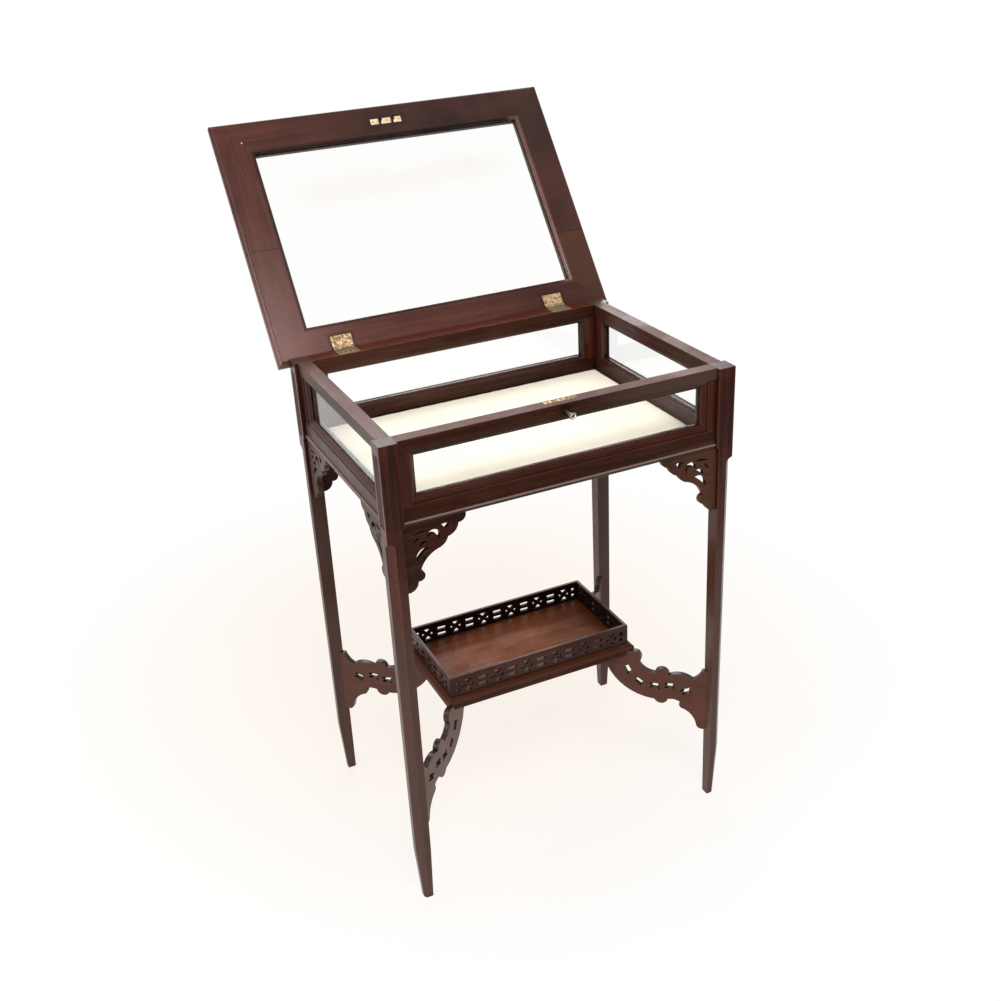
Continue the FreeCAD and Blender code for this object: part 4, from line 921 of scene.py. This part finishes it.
LOOPS_X, LOOP_SHADE = 0.0105, (0.0024, 0.0012)
GREENED = (0.012, 0.020)                 # across the lock, from clean to green
old_brass = metal("old_brass", shade(204, 176, 138), shade(140, 110, 78), rough=0.50, dent=0.0006)
case_brass = metal("case_brass", shade(168, 154, 126), shade(116, 100, 76), rough=0.45, dent=0.0006)
lock_brass = metal("lock_brass", shade(196, 172, 128), shade(104, 84, 54), rough=0.42, dent=0.0005)
across = lock_brass.parts(lock_brass.place())[0]
tint(lock_brass, across.ramp(*GREENED) * 0.7, shade(66, 66, 52))
link_brass = metal(
    "link_brass", shade(248, 226, 192), shade(206, 172, 128), rough=0.34, dent=0.0004,
)
# painted shade around the link plate's two loops
from_loop = (link_brass.parts(link_brass.place())[0].size() - LOOPS_X).size()
tint(link_brass, from_loop.ramp(*LOOP_SHADE), shade(46, 30, 22))
steel = metal("worn_steel", shade(216, 210, 204), shade(128, 118, 110), rough=0.22, dent=0.0001)
print("five worn metals")

# %% Metal parts and hidden wood
for node in ("hinge_lid_leaves", "lid_screws"):
    dress(node, old_brass)
for node in ("hinge_case_leaves", "hinge_pins", "case_screws"):
    dress(node, case_brass)
for node in ("lock_body", "lock_bolt", "lock_drum"):
    dress(node, lock_brass)
dress("link_plate", link_brass)
for node in ("key", "lock_drill_pin"):
    dress(node, steel)
dress("case_bottom_board", pine)
dress("stretcher_dowels", pine)
print("hinges, lock, key and hidden wood dressed")

# %% [markdown]
# ## Floor and light
#
# The table stands on pale paper. The eye has to see the paper white, and the wood has to be lit by
# it only softly, so the paper shows a glow to the camera and plain grey to everything else. The
# glow is slightly warm behind the table, where light comes back from the wood. Wood and glass
# mirror the paper less in front, where the room is dark.

# %% The floor
FLOOR_WIDTH = 60
FRONT_FADE = (-0.5, -1.4)                # from the table's middle to the dark front of the room
NEAR_SHADE = (0.6, 1.4)                  # the paper's glow is weaker within this distance
TO_WARM_SPOT, WARM_REACH = (-0.05, -0.42, 0), (0.95, 0.25)   # the spot lies behind the table
bpy.ops.object.select_all(action="DESELECT")
bpy.ops.mesh.primitive_plane_add(size=FLOOR_WIDTH, location=(0, 0, -0.0002))
floor = bpy.context.object
floor.name = "studio_floor"
paper = Finish("studio_paper", Roughness=0.9, Specular_IOR_Level=0.0)
place = paper.place()
in_front = paper.parts(place)[1].ramp(*FRONT_FADE)
paper.feed("Base Color", paper.blend(in_front, (0.80, 0.79, 0.78), (0.16, 0.15, 0.15)))
print("the paper is", FLOOR_WIDTH, "m wide")


# %% The glow of the paper
def distance(finish, vector):
    """How far a point lies from the origin."""
    return finish.node("VectorMath", {"operation": "LENGTH"}, [vector], "Value")


def seen_by(graph, *kinds):
    """For each kind of ray, 1 if the surface is met by such a ray."""
    return [graph.node("LightPath", output=f"Is {kind} Ray") for kind in kinds]


to_camera, mirrored, through_glass = seen_by(paper, "Camera", "Glossy", "Transmission")
glow_share = 0.86 + distance(paper, place).ramp(*NEAR_SHADE) * 0.14
mirrored_share = 0.8 - in_front * 0.7
seen_share = to_camera.most(through_glass) * glow_share
behind = distance(paper, paper.shifted(place, TO_WARM_SPOT)).ramp(*WARM_REACH)
white, warm = (
    paper.node("Emission", None, {"Color": (*colour, 1), "Strength": 1.0})
    for colour in ((1, 1, 1), shade(253, 245, 236))
)
glow = paper.node("MixShader", None, {0: behind, 1: white, 2: warm})
plain = Value(paper, paper.shader.outputs["BSDF"])
share = seen_share.most(mirrored * mirrored_share)
seen = paper.node("MixShader", None, {0: share, 1: plain, 2: glow})
paper.tree.links.new(seen.socket, paper.output.inputs["Surface"])
floor.data.materials.append(paper.material)
floor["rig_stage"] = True
print("the paper glows for the camera and is plain grey for the table")

# %% [markdown]
# ## The light
#
# The room is a white tent: bright above and behind, dim in front. Three square lamps add direction:
# a key above and in front, a weak one from the left that puts the sheen on the left faces, and one
# behind that draws a light edge along the rails. Their level is set so that the cream lining stays
# just below white.

# %% The sky
world = bpy.data.worlds.new("studio")
bpy.context.scene.world = world
world.use_nodes = True
sky = Graph(world.node_tree)
toward = sky.node("TexCoord", output="Generated")
forwards, upwards = (sky.node("SeparateXYZ", None, [toward], axis) for axis in (1, 2))
to_camera, through_glass = seen_by(sky, "Camera", "Transmission")
white_sky = sky.node("Background", None, {"Color": (1, 1, 1, 1), "Strength": 1.0})
dim_sky = sky.node("Background", None, {"Color": (1.0, 0.98, 0.96, 1), "Strength": 0.25})
lit_share = forwards.ramp(-0.6, 0.3) * 0.6 + upwards.ramp(-0.1, 0.7) * 0.4
lighting_sky = sky.node("MixShader", None, {0: lit_share, 1: dim_sky, 2: white_sky})
share = to_camera.most(through_glass)
both = sky.node("MixShader", None, {0: share, 1: lighting_sky, 2: white_sky})
sky.tree.links.new(both.socket, world.node_tree.nodes["World Output"].inputs["Surface"])
print("the sky is white to the eye, and dim in front for the table")


# %% The lamps
def soft_lamp(name, place, aim, width, power):
    """A square lamp that points at a place."""
    bpy.ops.object.light_add(type="AREA", location=place)
    lamp = bpy.context.object
    lamp.name = name
    lamp.data.size = width
    lamp.data.energy = power
    lamp.rotation_euler = (Vector(aim) - Vector(place)).to_track_quat("-Z", "Y").to_euler()


TABLE_MIDDLE = (0, 0, 0.6)
soft_lamp("key_lamp", (-0.3, -1.8, 3.1), TABLE_MIDDLE, width=1.0, power=60)
soft_lamp("side_lamp", (-2.6, -0.2, 1.6), TABLE_MIDDLE, width=1.6, power=30)
soft_lamp("back_lamp", (1.15, 2.7, 1.8), TABLE_MIDDLE, width=1.8, power=34)

bpy.context.scene.view_settings.view_transform = "Standard"
print("three lamps of", [round(lamp.energy) for lamp in bpy.data.lights], "watts")

# %% [markdown]
# ## Sizes
#
# Easing an edge only takes wood away, so the dressed table has to fill the same box as its solids.
# Both boxes are measured, and printed side by side.

# %% Sizes
visual_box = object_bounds()
for word, box in (("solids", cad_box), ("dressed", visual_box)):
    print(word, [round(1000 * (high - low), 1) for low, high in zip(*box)], "mm")
